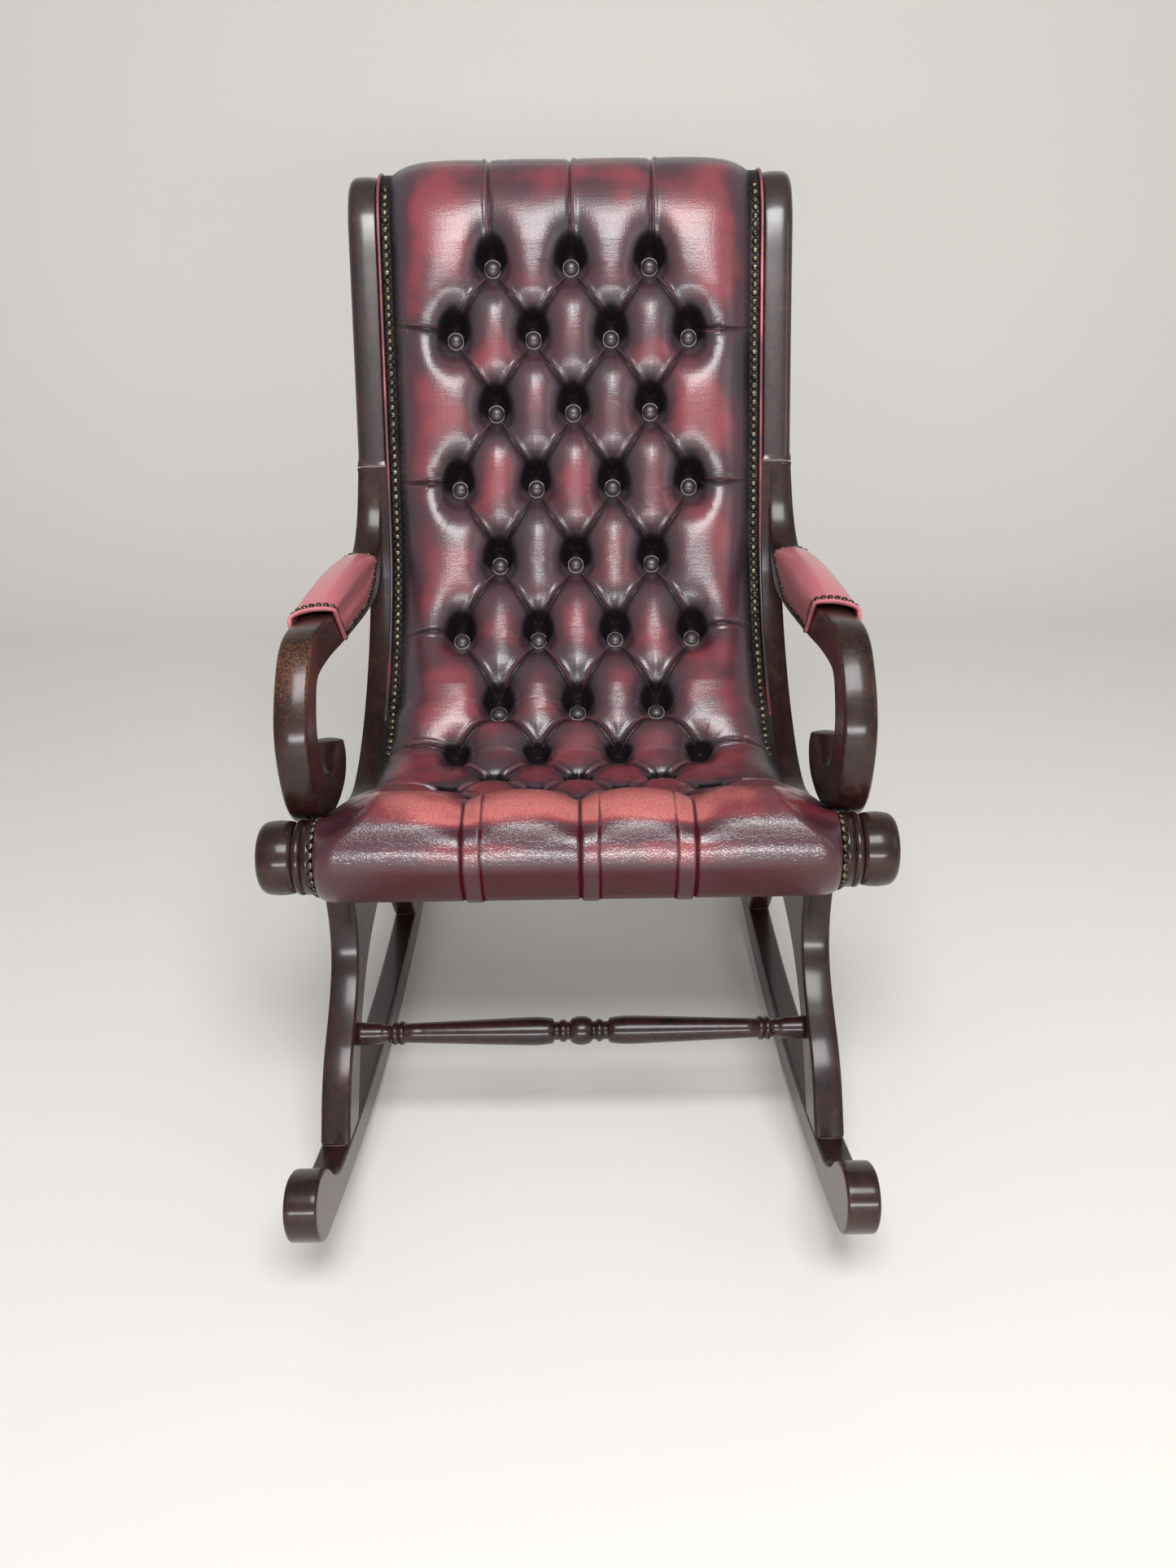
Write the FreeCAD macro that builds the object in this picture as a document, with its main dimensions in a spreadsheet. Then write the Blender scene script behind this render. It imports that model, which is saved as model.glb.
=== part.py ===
import FreeCAD
import Part
import math
import os

# A buttoned leather rocking chair on a stained wooden frame, in millimetres.
# The chair faces -Y, +Z is up and the floor is Z = 0. Left and right are as seen from the front.
# Two side frames (rocker, legs, curved rail, back post, scroll arm) carry the cross rails, and the
# stuffed leather seat, front roll and back hang between them.

V = FreeCAD.Vector
SIDES = (("left", -1), ("right", 1))
NEAR = 0.01
HALF_TURN = 180

SIZES = {
    # widths across the chair, as half widths from the middle or as thicknesses
    "leg_setout": 3,
    "leg_width": 30,
    "rail_inner": 232,
    "rail_width": 24,
    "post_width": 36,
    "arm_width": 33,
    "arm_toe_in": 16,
    "welt_width": 4.6,
    "fit_clearance": 0.3,
    # rockers
    "rocker_radius": 1900,
    "contact_y": 76.4,
    "rocker_depth": 32,
    "tip_centre_y": -406,
    "tip_radius": 34,
    "tip_cove_y": -330,
    "rocker_rear_y": 428.8,
    # legs
    "front_foot_toe_y": -295,
    "front_foot_heel_y": -245,
    "front_knee_y": -252,
    "front_knee_z": 131,
    "front_shin_y": -200,
    "front_shin_z": 171,
    "front_thigh_y": -162,
    "front_thigh_z": 221,
    "arch_y": -177,
    "arch_z": 142,
    "arch_top_z": 204,
    "rear_arch_y": 160,
    "rear_arch_z": 112,
    "rear_foot_toe_y": 216,
    "rear_foot_heel_y": 286,
    "rear_knee_y": 196,
    "rear_knee_z": 190,
    # the curved rail line, which the leather edge follows
    "rail_depth": 44,
    "rail_front_y": -160,
    "rail_front_z": 374,
    "rail_front_depth": 76,
    "seat_dip_y": -80,
    "seat_dip_z": 346,
    "seat_low_z": 338,
    "lap_y": 100,
    "lap_z": 390,
    "bend_y": 165,
    "bend_z": 450,
    "lumbar_y": 218,
    "lumbar_z": 527,
    "seam_y": 259,
    "seam_z": 650,
    "shoulder_y": 330,
    "shoulder_z": 915,
    "crest_run": 60,
    "crest_rise": 61,
    "scroll_run": 40,
    "scroll_drop": 42,
    "scroll_nose": 22,
    # arms
    "arm_top_z": 554,
    "arm_under_z": 506,
    "arm_front_y": -192,
    "pad_front_y": -70,
    "pad_rear_y": 178,
    "pad_width": 42,
    "pad_height": 18,
    "scroll_low_z": 358,
    "scroll_tip_z": 416,
    # front roll and turned pieces
    "roll_setback": 36,
    "roll_drop": 27,
    "roll_lift": 11,
    "roll_radius": 56,
    "roll_end_gap": 2,
    "roll_end_radius": 42,
    "core_depth": 58,
    "core_height": 36,
    "roll_pleat_x": 111,
    "roll_pleat_half": 8,
    "roll_pleat_depth": 3,
    "end_disc_thick": 11,
    "end_disc_radius": 37,
    "collar_thick": 9,
    "collar_radius": 38,
    "roundel_length": 36,
    "roundel_radius": 37,
    "spigot_radius": 9,
    "spigot_length": 24,
    "stretcher_y": -205,
    "stretcher_z": 141,
    "stretcher_radius": 14,
    "rear_stretcher_y": 190,
    "rear_stretcher_z": 135,
    "tenon_radius": 8,
    "tenon_length": 18,
    # stuffing
    "tuft_column": 47,
    "top_row_gap": 46.3,
    "tuft_row_step": 4,
    "first_row": 268,
    "crease_row": 195,
    "seat_tuft_row": 55,
    "tuft_floor": 9,
    "back_crown": 34,
    "seat_crown": 22,
    "tuft_depth": 4,
    "stuffing_back": 11,
    "pillow_swell": 6,
    "edge_lip": 13,
    "button_radius": 7.5,
    "button_height": 6,
    "button_gap": 0.6,
    # straps, cross rails and covers
    "strap_width": 52,
    "strap_thick": 2,
    "cross_rail_thick": 16,
    "cross_rail_height": 56,
    "rear_rail_rise": 25,
    "top_rail_rise": 28,
    "cover_thick": 2,
    "nail_radius": 4.7,
    "nail_height": 2.8,
    "nail_pitch": 9.8,
    "dowel_radius": 5,
    "dowel_length": 44,
    "edge_ease": 2.5,
}

doc = FreeCAD.newDocument("rocking_chair")
sheet = doc.addObject("Spreadsheet::Sheet", "Dimensions")
for row, (alias, value) in enumerate(SIZES.items(), start=1):
    sheet.set(f"A{row}", alias)
    sheet.set(f"B{row}", str(value))
    sheet.setAlias(f"B{row}", alias)
doc.recompute()
dim = {alias: float(sheet.get(alias)) for alias in SIZES}
parts = []


# Outlines: chains of tangent arcs through stations (y, z, heading in degrees from +Y towards +Z).
def heading_vector(degrees):
    angle = math.radians(degrees)
    return V(math.cos(angle), math.sin(angle), 0)


def tangent_arc(start, direction, end):
    """The arc that leaves start along direction and reaches end."""
    chord = end - start
    normal = V(-direction.y, direction.x, 0)
    rise = chord.dot(normal)
    if abs(rise) < 1e-6 * chord.Length:
        return Part.LineSegment(start, end)
    radius = chord.dot(chord) / (2 * rise)
    centre = start + normal * radius
    outward = (start + end) / 2 - centre
    outward.normalize()
    return Part.Arc(start, centre + outward * abs(radius), end)


def smooth(stations):
    """Two tangent arcs from each station to the next."""
    edges = []
    for (y0, z0, h0), (y1, z1, h1) in zip(stations, stations[1:]):
        start, end = V(y0, z0, 0), V(y1, z1, 0)
        leave, arrive = heading_vector(h0), heading_vector(h1)
        chord = end - start
        along = chord.dot(leave + arrive)
        fold = 2 * (1 - leave.dot(arrive))
        if fold < 1e-9:
            reach = chord.dot(chord) / (2 * along)
        else:
            reach = (math.sqrt(along ** 2 + fold * chord.dot(chord)) - along) / fold
        middle = (start + end + (leave - arrive) * reach) / 2
        across = chord - (leave + arrive) * reach
        across.normalize()
        edges.append(tangent_arc(start, leave, middle))
        edges.append(tangent_arc(middle, across, end))
    return edges


def line(start, end):
    return Part.LineSegment(V(start[0], start[1], 0), V(end[0], end[1], 0))


def behind(station, depth):
    """The station moved square to its heading, to the rear or underside of the rail."""
    y, z, heading = station
    angle = math.radians(heading)
    return (y + depth * math.sin(angle), z - depth * math.cos(angle), heading)


def on_chain(chain, distance):
    """The station at a distance along a chain of edges."""
    for edge in chain:
        length = edge.length()
        if distance <= length or edge is chain[-1]:
            parameter = edge.parameterAtDistance(distance, edge.FirstParameter)
            point = edge.value(parameter)
            direction = edge.tangent(parameter)[0]
            return (point.x, point.y, math.degrees(math.atan2(direction.y, direction.x)))
        distance -= length


def turned_back(station):
    """The same place, headed the other way."""
    y, z, heading = station
    return (y, z, heading - HALF_TURN)


def rocker_station(y, lift):
    """A station on the rocker circle, lifted off its rolling face."""
    radius = dim["rocker_radius"] - lift
    run = y - dim["contact_y"]
    z = dim["rocker_radius"] - math.sqrt(radius ** 2 - run ** 2)
    return (y, z, math.degrees(math.asin(run / radius)))


def rocker_arc(y_start, y_end, lift):
    points = [rocker_station(y, lift) for y in (y_start, (y_start + y_end) / 2, y_end)]
    return Part.Arc(*[V(y, z, 0) for y, z, heading in points])


# The rail line: from the front of the seat, through the dip, up the back to the crest.
RAIL_FRONT = (dim["rail_front_y"], dim["rail_front_z"], -22)
DIP = (dim["seat_dip_y"], dim["seat_dip_z"], -12)
LOW = (0, dim["seat_low_z"], 14)
LAP = (dim["lap_y"], dim["lap_z"], 37)
BEND = (dim["bend_y"], dim["bend_z"], 48)
LUMBAR = (dim["lumbar_y"], dim["lumbar_z"], 63)
SEAM = (dim["seam_y"], dim["seam_z"], 74)
SHOULDER = (dim["shoulder_y"], dim["shoulder_z"], 76)
CREST = (SHOULDER[0] + dim["crest_run"], SHOULDER[1] + dim["crest_rise"], 0)
SCROLL = (CREST[0] + dim["scroll_run"], CREST[1] - dim["scroll_drop"], -95)
LOWER_STATIONS = [RAIL_FRONT, DIP, LOW, LAP, BEND, LUMBAR, SEAM]
UPPER_STATIONS = [SEAM, SHOULDER, CREST, SCROLL]
rail_line = smooth(LOWER_STATIONS + UPPER_STATIONS[1:])
rail_length = sum(edge.length() for edge in rail_line)
shoulder_at = sum(edge.length() for edge in smooth(LOWER_STATIONS + [SHOULDER]))

# The underside of the rail, which the legs meet.
UNDER_FRONT = (dim["rail_front_y"], dim["rail_front_z"] - dim["rail_front_depth"], -15)
UNDER = [UNDER_FRONT] + [behind(station, dim["rail_depth"]) for station in LOWER_STATIONS[1:]]
UNDER_DIP, UNDER_LOW, UNDER_LAP = UNDER[1:4]


# Ways of making a piece.
def origin_plane(body, role):
    return next(plane for plane in body.Origin.OriginFeatures if plane.Role == role)


def add_sketch(body, name, role, edges):
    sketch = body.newObject("Sketcher::SketchObject", name)
    sketch.AttachmentSupport = (origin_plane(body, role), [""])
    sketch.MapMode = "FlatFace"
    sketch.addGeometry(edges, False)
    return sketch


def keep(piece, label):
    piece.Label = label
    parts.append(piece)
    return piece


def rim_edges(shape, outline):
    """Names of the edges where a board's flat faces meet a part of its outline."""
    names = []
    for number, edge in enumerate(shape.Edges, start=1):
        spot = edge.valueAt((edge.FirstParameter + edge.LastParameter) / 2)
        spot = V(spot.y, spot.z, 0)
        flat = abs(edge.Vertexes[0].X - edge.Vertexes[-1].X) < NEAR
        if flat and any((curve.value(curve.parameter(spot)) - spot).Length < NEAR for curve in outline):
            names.append(f"Edge{number}")
    return names


def board(label, edges, width, inner, side, eased=()):
    """A sawn board: an outline in the side view, padded across its width, with some edges eased."""
    body = doc.addObject("PartDesign::Body", label)
    sketch = add_sketch(body, f"{label}_outline", "YZ_Plane", edges)
    pad = body.newObject("PartDesign::Pad", f"{label}_pad")
    pad.Profile = sketch
    pad.setExpression("Length", f"Dimensions.{width}")
    place = inner if side > 0 else f"-({inner}) - Dimensions.{width}"
    body.setExpression("Placement.Base.x", place)
    doc.recompute()
    if eased:
        chamfer = body.newObject("PartDesign::Chamfer", f"{label}_easing")
        chamfer.Base = (pad, rim_edges(pad.Shape, eased))
        chamfer.setExpression("Size", "Dimensions.edge_ease")
        doc.recompute()
    return body


def turned(label, edges, y, z):
    """A turned piece: half its profile along X, revolved about its own axis."""
    body = doc.addObject("PartDesign::Body", label)
    sketch = add_sketch(body, f"{label}_profile", "XZ_Plane", edges)
    spin = body.newObject("PartDesign::Revolution", f"{label}_turning")
    spin.Profile = sketch
    spin.ReferenceAxis = (sketch, ["H_Axis"])
    spin.Angle = 360
    body.setExpression("Placement.Base.y", y)
    body.setExpression("Placement.Base.z", z)
    doc.recompute()
    return body


def shaped(label, shape):
    """A piece whose form is worked out directly."""
    feature = doc.addObject("Part::Feature", label)
    feature.Shape = shape
    feature.Placement = FreeCAD.Placement()
    return keep(feature, label)


def drilled(label, body, tools):
    """A body with the holes that its dowels and tenons fill."""
    holes = doc.addObject("Part::Compound", f"{label}_holes")
    holes.Links = tools
    cut = doc.addObject("Part::Cut", f"{label}_drilled")
    cut.Base = body
    cut.Tool = holes
    return keep(cut, label)


def dowel(label, centre, heading):
    """A round wooden dowel along a heading of the side view, given by its middle."""
    rod = doc.addObject("Part::Cylinder", label)
    rod.setExpression("Radius", "Dimensions.dowel_radius")
    rod.setExpression("Height", "Dimensions.dowel_length")
    direction = heading_vector(heading)
    axis = V(0, direction.x, direction.y)
    base = centre - axis * dim["dowel_length"] / 2
    rod.Placement = FreeCAD.Placement(base, FreeCAD.Rotation(V(0, 0, 1), axis))
    return rod


# Rockers: a long arc with a rounded, upturned front tip.
tip_low = rocker_station(dim["tip_centre_y"], 0)
tip_high = rocker_station(dim["tip_centre_y"], 2 * dim["tip_radius"])
cove = rocker_station(dim["tip_cove_y"], dim["rocker_depth"])
rear_low = rocker_station(dim["rocker_rear_y"], 0)
rear_high = rocker_station(dim["rocker_rear_y"] - dim["rocker_depth"] / 3, dim["rocker_depth"])
rocker_outline = (
    smooth([turned_back(tip_low), tip_high, cove])
    + [rocker_arc(dim["tip_cove_y"], rear_high[0], dim["rocker_depth"])]
    + smooth([rear_high, turned_back(rear_low)])
    + [rocker_arc(rear_low[0], tip_low[0], 0)]
)

# Legs: sabre legs that meet in an arch under the rail and stand on the rockers.
depth = dim["rocker_depth"]
front_toe = rocker_station(dim["front_foot_toe_y"], depth)
front_heel = rocker_station(dim["front_foot_heel_y"], depth)
rear_toe = rocker_station(dim["rear_foot_toe_y"], depth)
rear_heel = rocker_station(dim["rear_foot_heel_y"], depth)
arch_top = (UNDER_LOW[0], dim["arch_top_z"])
front_leg_free = (
    smooth([
        (*front_toe[:2], 60),
        (dim["front_knee_y"], dim["front_knee_z"], 45),
        (dim["front_shin_y"], dim["front_shin_z"], 38),
        (dim["front_thigh_y"], dim["front_thigh_z"], 74),
        (*UNDER_FRONT[:2], 89),
    ])
    + smooth([(*arch_top, 180), (dim["arch_y"], dim["arch_z"], 221), (*front_heel[:2], 234)])
)
front_leg_outline = (
    front_leg_free
    + smooth([UNDER_FRONT, UNDER_DIP, UNDER_LOW])
    + [line(UNDER_LOW, arch_top), rocker_arc(front_heel[0], front_toe[0], depth)]
)
rear_leg_free = (
    smooth([(*rear_heel[:2], 135), (dim["rear_knee_y"], dim["rear_knee_z"], 122), (*UNDER_LAP[:2], 104)])
    + smooth([(*arch_top, 0), (dim["rear_arch_y"], dim["rear_arch_z"], -42), (*rear_toe[:2], -48)])
)
rear_leg_outline = (
    rear_leg_free
    + smooth([UNDER_LOW, UNDER_LAP])
    + [line(UNDER_LOW, arch_top), rocker_arc(rear_toe[0], rear_heel[0], depth)]
)

# Curved side rails and back posts: one line from the seat front to the scrolled crest.
SEAM_BACK = behind(SEAM, dim["rail_depth"])
rail_outline = (
    smooth(LOWER_STATIONS)
    + [line(SEAM, SEAM_BACK)]
    + smooth(UNDER)
    + [line(UNDER_FRONT, RAIL_FRONT)]
)
nose_radius = dim["scroll_nose"]
nose = (SCROLL[0] - nose_radius, SCROLL[1] - nose_radius, -180)
neck = behind(on_chain(rail_line, shoulder_at - 2 * nose_radius), dim["rail_depth"])
post_free = (
    smooth(UPPER_STATIONS)
    + smooth([SCROLL, nose, turned_back(neck), turned_back(SEAM_BACK)])
)
post_outline = post_free + [line(SEAM_BACK, SEAM)]

# Arms: a bar under the pad, a C scroll in front of it and a tail that sweeps up to the post.
top_z = dim["arm_top_z"]
under_z = dim["arm_under_z"]
front_y = dim["arm_front_y"]
low_z = dim["scroll_low_z"]
tip_z = dim["scroll_tip_z"]
tail_y = dim["pad_rear_y"] + 4
arm_scroll = smooth([
    (dim["pad_front_y"], top_z, 180),
    (front_y + 61, top_z - 5, 202),
    (front_y + 29, top_z - 32, 231),
    (front_y, top_z - 102, 270),
    (front_y + 29, low_z + 12, 319),
    (front_y + 80, low_z, 0),
    (front_y + 146, low_z + 40, 85),
    (front_y + 142, tip_z, 100),
])
arm_curl = smooth([
    (front_y + 128, tip_z, 205),
    (front_y + 83, tip_z - 13, 180),
    (front_y + 47, tip_z + 14, 108),
    (front_y + 44, tip_z + 36, 90),
    (front_y + 59, under_z - 7, 60),
    (front_y + 88, under_z + 4, 3),
    (20, under_z, -2),
    (tail_y - 25, under_z, 5),
])
arm_tail = (
    smooth([(tail_y - 25, under_z, 5), (tail_y + 25, under_z + 20, 40), SEAM_BACK])
    + [line(SEAM_BACK, SEAM)]
    + smooth([turned_back(SEAM), (tail_y + 48, top_z + 24, 232), (tail_y, top_z, 180)])
)
arm_outline = (
    arm_scroll
    + [line((front_y + 142, tip_z), (front_y + 128, tip_z))]
    + arm_curl
    + arm_tail
    + [line((tail_y, top_z), (dim["pad_front_y"], top_z))]
)


# Each arm toes in towards the rear, so that its tail comes to lie under the post.
arm_angle = math.degrees(math.atan2(dim["arm_toe_in"], dim["seam_y"] - front_y))
tail_thick = dim["post_width"] - dim["rail_width"] + dim["arm_toe_in"]


def arm_inner(y):
    """Distance of an arm's inner face from the middle of the chair."""
    return dim["rail_inner"] + dim["rail_width"] - (y - front_y) * math.tan(math.radians(arm_angle))


def arm_body(label, side):
    """The toed-in arm board, with its tail thinned to the post's outer face."""
    body = board(label, arm_outline, "arm_width", RAIL_OUTER, side, arm_scroll + arm_curl)
    full = dim["arm_width"]
    top, low, margin = dim["seam_z"] + 2, top_z + 4, 5
    turn = 1 if side > 0 else -1
    start = 0 if side > 0 else full
    flare = smooth([
        (start + turn * tail_thick, top, -90),
        (start + turn * full, low, -90 + turn * 6),
    ])
    outside = start + turn * (full + margin)
    outer = [
        line((start + turn * full, low), (outside, low)),
        line((outside, low), (outside, top)),
        line((outside, top), (start + turn * tail_thick, top)),
    ]
    sketch = add_sketch(body, f"{label}_flare", "XZ_Plane", flare + outer)
    pocket = body.newObject("PartDesign::Pocket", f"{label}_taper")
    pocket.Profile = sketch
    pocket.Type = "ThroughAll"
    pocket.SideType = "Symmetric"
    body.setExpression("Placement.Base.x", None)
    spin = FreeCAD.Rotation(V(0, 0, 1), side * arm_angle)
    corner = V(side * arm_inner(0), 0, -dim["fit_clearance"])
    body.Placement = FreeCAD.Placement(corner - spin.multVec(V(start, 0, 0)), spin)
    doc.recompute()
    return body


# The two side frames, with the dowels that hold them together.
LEG_INNER = "Dimensions.rail_inner + Dimensions.leg_setout"
RAIL_INNER = "Dimensions.rail_inner"
RAIL_OUTER = "Dimensions.rail_inner + Dimensions.rail_width"
leg_inner = dim["rail_inner"] + dim["leg_setout"]
leg_middle = leg_inner + dim["leg_width"] / 2
rail_middle = dim["rail_inner"] + dim["rail_width"] / 2
joint_middle = (leg_middle + rail_middle) / 2
dowels = []


def middle(one, other, share=0.5):
    return (one[0] + (other[0] - one[0]) * share, one[1] + (other[1] - one[1]) * share)


def side_dowel(name, x, point, heading):
    rod = dowel(name, V(x, point[0], point[1]), heading)
    dowels.append(rod)
    return rod


def tenon_hole(name, side, y, z):
    """The round hole in a leg that takes a stretcher's tenon."""
    hole = doc.addObject("Part::Cylinder", name)
    hole.setExpression("Radius", "Dimensions.tenon_radius")
    hole.setExpression("Height", "Dimensions.tenon_length")
    direction = V(side, 0, 0)
    hole.Placement = FreeCAD.Placement(V(side * leg_inner, y, z), FreeCAD.Rotation(V(0, 0, 1), direction))
    return hole


for word, side in SIDES:
    front_foot = middle(front_toe, front_heel)
    rear_foot = middle(rear_toe, rear_heel)
    front_pin = side_dowel(f"{word}_front_foot_dowel", side * leg_middle, front_foot, 45)
    rear_pin = side_dowel(f"{word}_rear_foot_dowel", side * leg_middle, rear_foot, 130)
    front_top = side_dowel(f"{word}_front_top_dowel", side * joint_middle, UNDER_DIP, 90)
    rear_top = side_dowel(f"{word}_rear_top_dowel", side * joint_middle, middle(UNDER_LOW, UNDER_LAP), 115)
    seam_x = arm_inner(dim["seam_y"]) + tail_thick / 2
    seam_pin = side_dowel(f"{word}_seam_dowel", side * seam_x, middle(SEAM, SEAM_BACK), SEAM[2])

    rocker = board(f"{word}_rocker_board", rocker_outline, "leg_width", LEG_INNER, side, rocker_outline)
    drilled(f"{word}_rocker", rocker, [front_pin, rear_pin])
    front_leg = board(f"{word}_front_leg_board", front_leg_outline, "leg_width", LEG_INNER, side, front_leg_free)
    front_hole = tenon_hole(f"{word}_front_tenon_hole", side, dim["stretcher_y"], dim["stretcher_z"])
    drilled(f"{word}_front_leg", front_leg, [front_pin, front_top, front_hole])
    rear_leg = board(f"{word}_rear_leg_board", rear_leg_outline, "leg_width", LEG_INNER, side, rear_leg_free)
    rear_hole = tenon_hole(f"{word}_rear_tenon_hole", side, dim["rear_stretcher_y"], dim["rear_stretcher_z"])
    drilled(f"{word}_rear_leg", rear_leg, [rear_pin, rear_top, rear_hole])
    rail = board(f"{word}_side_rail_board", rail_outline, "rail_width", RAIL_INNER, side)
    arm = arm_body(f"{word}_arm_board", side)
    drilled(f"{word}_side_rail", rail, [front_top, rear_top, arm])
    post = board(f"{word}_back_post_board", post_outline, "post_width", RAIL_INNER, side, post_free)
    drilled(f"{word}_back_post", post, [seam_pin])
    drilled(f"{word}_arm", arm, [seam_pin])

dowel_group = doc.addObject("Part::Compound", "frame_dowel_group")
dowel_group.Links = dowels
keep(dowel_group, "frame_dowels")


# Turned pieces. Profiles are given as stations (x, radius, heading) along the axis.
tenon_tip = leg_inner + dim["tenon_length"]


def stretcher_profile():
    """Half of a stretcher: centre ball, rings, swelling barrel, end bead and cylinder, tenon."""
    full = dim["stretcher_radius"]
    neck_radius = full - 4.5
    end = leg_inner
    return (
        smooth([(0, full + 1, 0), (12, neck_radius, -65)])
        + [line((12, neck_radius), (15, neck_radius))]
        + smooth([(15, neck_radius, 60), (23, neck_radius, -60)])
        + [line((23, neck_radius), (28, neck_radius)), line((28, neck_radius), (30, full - 1))]
        + smooth([(30, full - 1, 10), (75, full, -2), (end - 50, full - 4, -2)])
        + smooth([(end - 50, full - 4, 70), (end - 43, full - 4, -70)])
        + smooth([(end - 43, full - 4, 65), (end - 36, full - 4, -65)])
        + smooth([(end - 36, full - 4, -30), (end - 24, full - 3, 25)])
        + [line((end - 24, full - 3), (end, full - 2)), line((end, full - 2), (end, dim["tenon_radius"]))]
        + [line((end, dim["tenon_radius"]), (tenon_tip, dim["tenon_radius"]))]
        + [line((tenon_tip, dim["tenon_radius"]), (tenon_tip, 0))]
    )


def mirrored_edges(edges):
    """The same profile on the other side of the middle."""
    turned_over = []
    for edge in edges:
        copy = edge.copy()
        copy.mirror(V(0, 0, 0), V(0, 1, 0))
        turned_over.append(copy)
    return turned_over


half_profile = stretcher_profile()
whole_profile = half_profile + mirrored_edges(half_profile) + [line((-tenon_tip, 0), (tenon_tip, 0))]
for place in ("stretcher", "rear_stretcher"):
    label = "front_stretcher" if place == "stretcher" else place
    y, z = f"Dimensions.{place}_y", f"Dimensions.{place}_z"
    keep(turned(f"{label}_turning", whole_profile, y, z), label)

ROLL_Y = "Dimensions.rail_front_y - Dimensions.roll_setback"
ROLL_Z = "Dimensions.rail_front_z - Dimensions.roll_drop"
roll_y = dim["rail_front_y"] - dim["roll_setback"]
roll_z = dim["rail_front_z"] - dim["roll_drop"]
disc_x = dim["rail_inner"] + dim["rail_width"]
collar_x = disc_x + dim["end_disc_thick"]
roundel_x = collar_x + dim["collar_thick"]
roundel_end = roundel_x + dim["roundel_length"]
bore = dim["spigot_radius"]
spigot_start = disc_x - dim["spigot_length"]
big = dim["roundel_radius"]
ring = dim["collar_radius"] - 4
disc_profile = [
    line((disc_x, bore), (disc_x, dim["end_disc_radius"])),
    line((disc_x, dim["end_disc_radius"]), (collar_x, dim["end_disc_radius"])),
    line((collar_x, dim["end_disc_radius"]), (collar_x, bore)),
    line((collar_x, bore), (disc_x, bore)),
]
collar_profile = (
    [line((collar_x, bore), (collar_x, ring))]
    + smooth([(collar_x, ring, 75), (roundel_x, ring, -75)])
    + [line((roundel_x, ring), (roundel_x, bore)), line((roundel_x, bore), (collar_x, bore))]
)
roundel_profile = (
    [line((spigot_start, 0), (spigot_start, bore)), line((spigot_start, bore), (roundel_x, bore))]
    + [line((roundel_x, bore), (roundel_x, big - 5))]
    + smooth([
        (roundel_x, big - 5, 62),
        (roundel_x + 13, big, 4),
        (roundel_end - 8, big - 1, -12),
        (roundel_end, big - 9, -78),
    ])
    + [line((roundel_end, big - 9), (roundel_end, 0)), line((roundel_end, 0), (spigot_start, 0))]
)
for word, side in SIDES:
    for name, profile in (("roll_end", disc_profile), ("collar", collar_profile), ("roundel", roundel_profile)):
        edges = profile if side > 0 else mirrored_edges(profile)
        keep(turned(f"{word}_{name}_turning", edges, ROLL_Y, ROLL_Z), f"{word}_{name}")


# The front rail: the wooden core of the roll, bored at its ends for the roundels' spigots.
core = doc.addObject("Part::Box", "front_rail_bar")
core.setExpression("Length", f"2 * ({RAIL_OUTER})")
core.setExpression("Width", "Dimensions.core_depth")
core.setExpression("Height", "Dimensions.core_height")
core.setExpression("Placement.Base.x", f"-({RAIL_OUTER})")
core.setExpression("Placement.Base.y", "Dimensions.rail_front_y - Dimensions.core_depth")
core.setExpression("Placement.Base.z", f"{ROLL_Z} - Dimensions.core_height / 2")
spigot_holes = []
for word, side in SIDES:
    hole = doc.addObject("Part::Cylinder", f"{word}_spigot_hole")
    hole.setExpression("Radius", "Dimensions.spigot_radius")
    hole.setExpression("Height", "Dimensions.spigot_length")
    start = V(side * disc_x, roll_y, roll_z)
    hole.Placement = FreeCAD.Placement(start, FreeCAD.Rotation(V(0, 0, 1), V(-side, 0, 0)))
    spigot_holes.append(hole)
drilled("seat_front_rail", core, spigot_holes)


# Cross rails and straps: flat bars between the side frames, square to the rail line.
def cross_bar(label, at, depth_behind, thick, height):
    """A bar from one side frame to the other, behind the rail line at a distance along it."""
    y, z, heading = behind(on_chain(rail_line, at), depth_behind)
    bar = doc.addObject("Part::Box", label)
    bar.setExpression("Length", f"2 * {RAIL_INNER}")
    bar.setExpression("Width", f"Dimensions.{height}")
    bar.setExpression("Height", f"Dimensions.{thick}")
    tilt = FreeCAD.Rotation(V(1, 0, 0), heading)
    corner = tilt.multVec(V(-dim["rail_inner"], -dim[height] / 2, -dim[thick]))
    bar.Placement = FreeCAD.Placement(V(0, y, z) + corner, tilt)
    return bar


# The back has seven button rows, drawn a little closer towards the shoulder.
TOP_ROW = 6
row_room = shoulder_at - dim["top_row_gap"] - dim["first_row"]
tuft_row = row_room / TOP_ROW + (TOP_ROW - 1) / 2 * dim["tuft_row_step"]


def row_at(number):
    """Distance of a back button row along the rail line, counted up from the seat."""
    return dim["first_row"] + number * tuft_row - number * (number - 1) / 2 * dim["tuft_row_step"]


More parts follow.
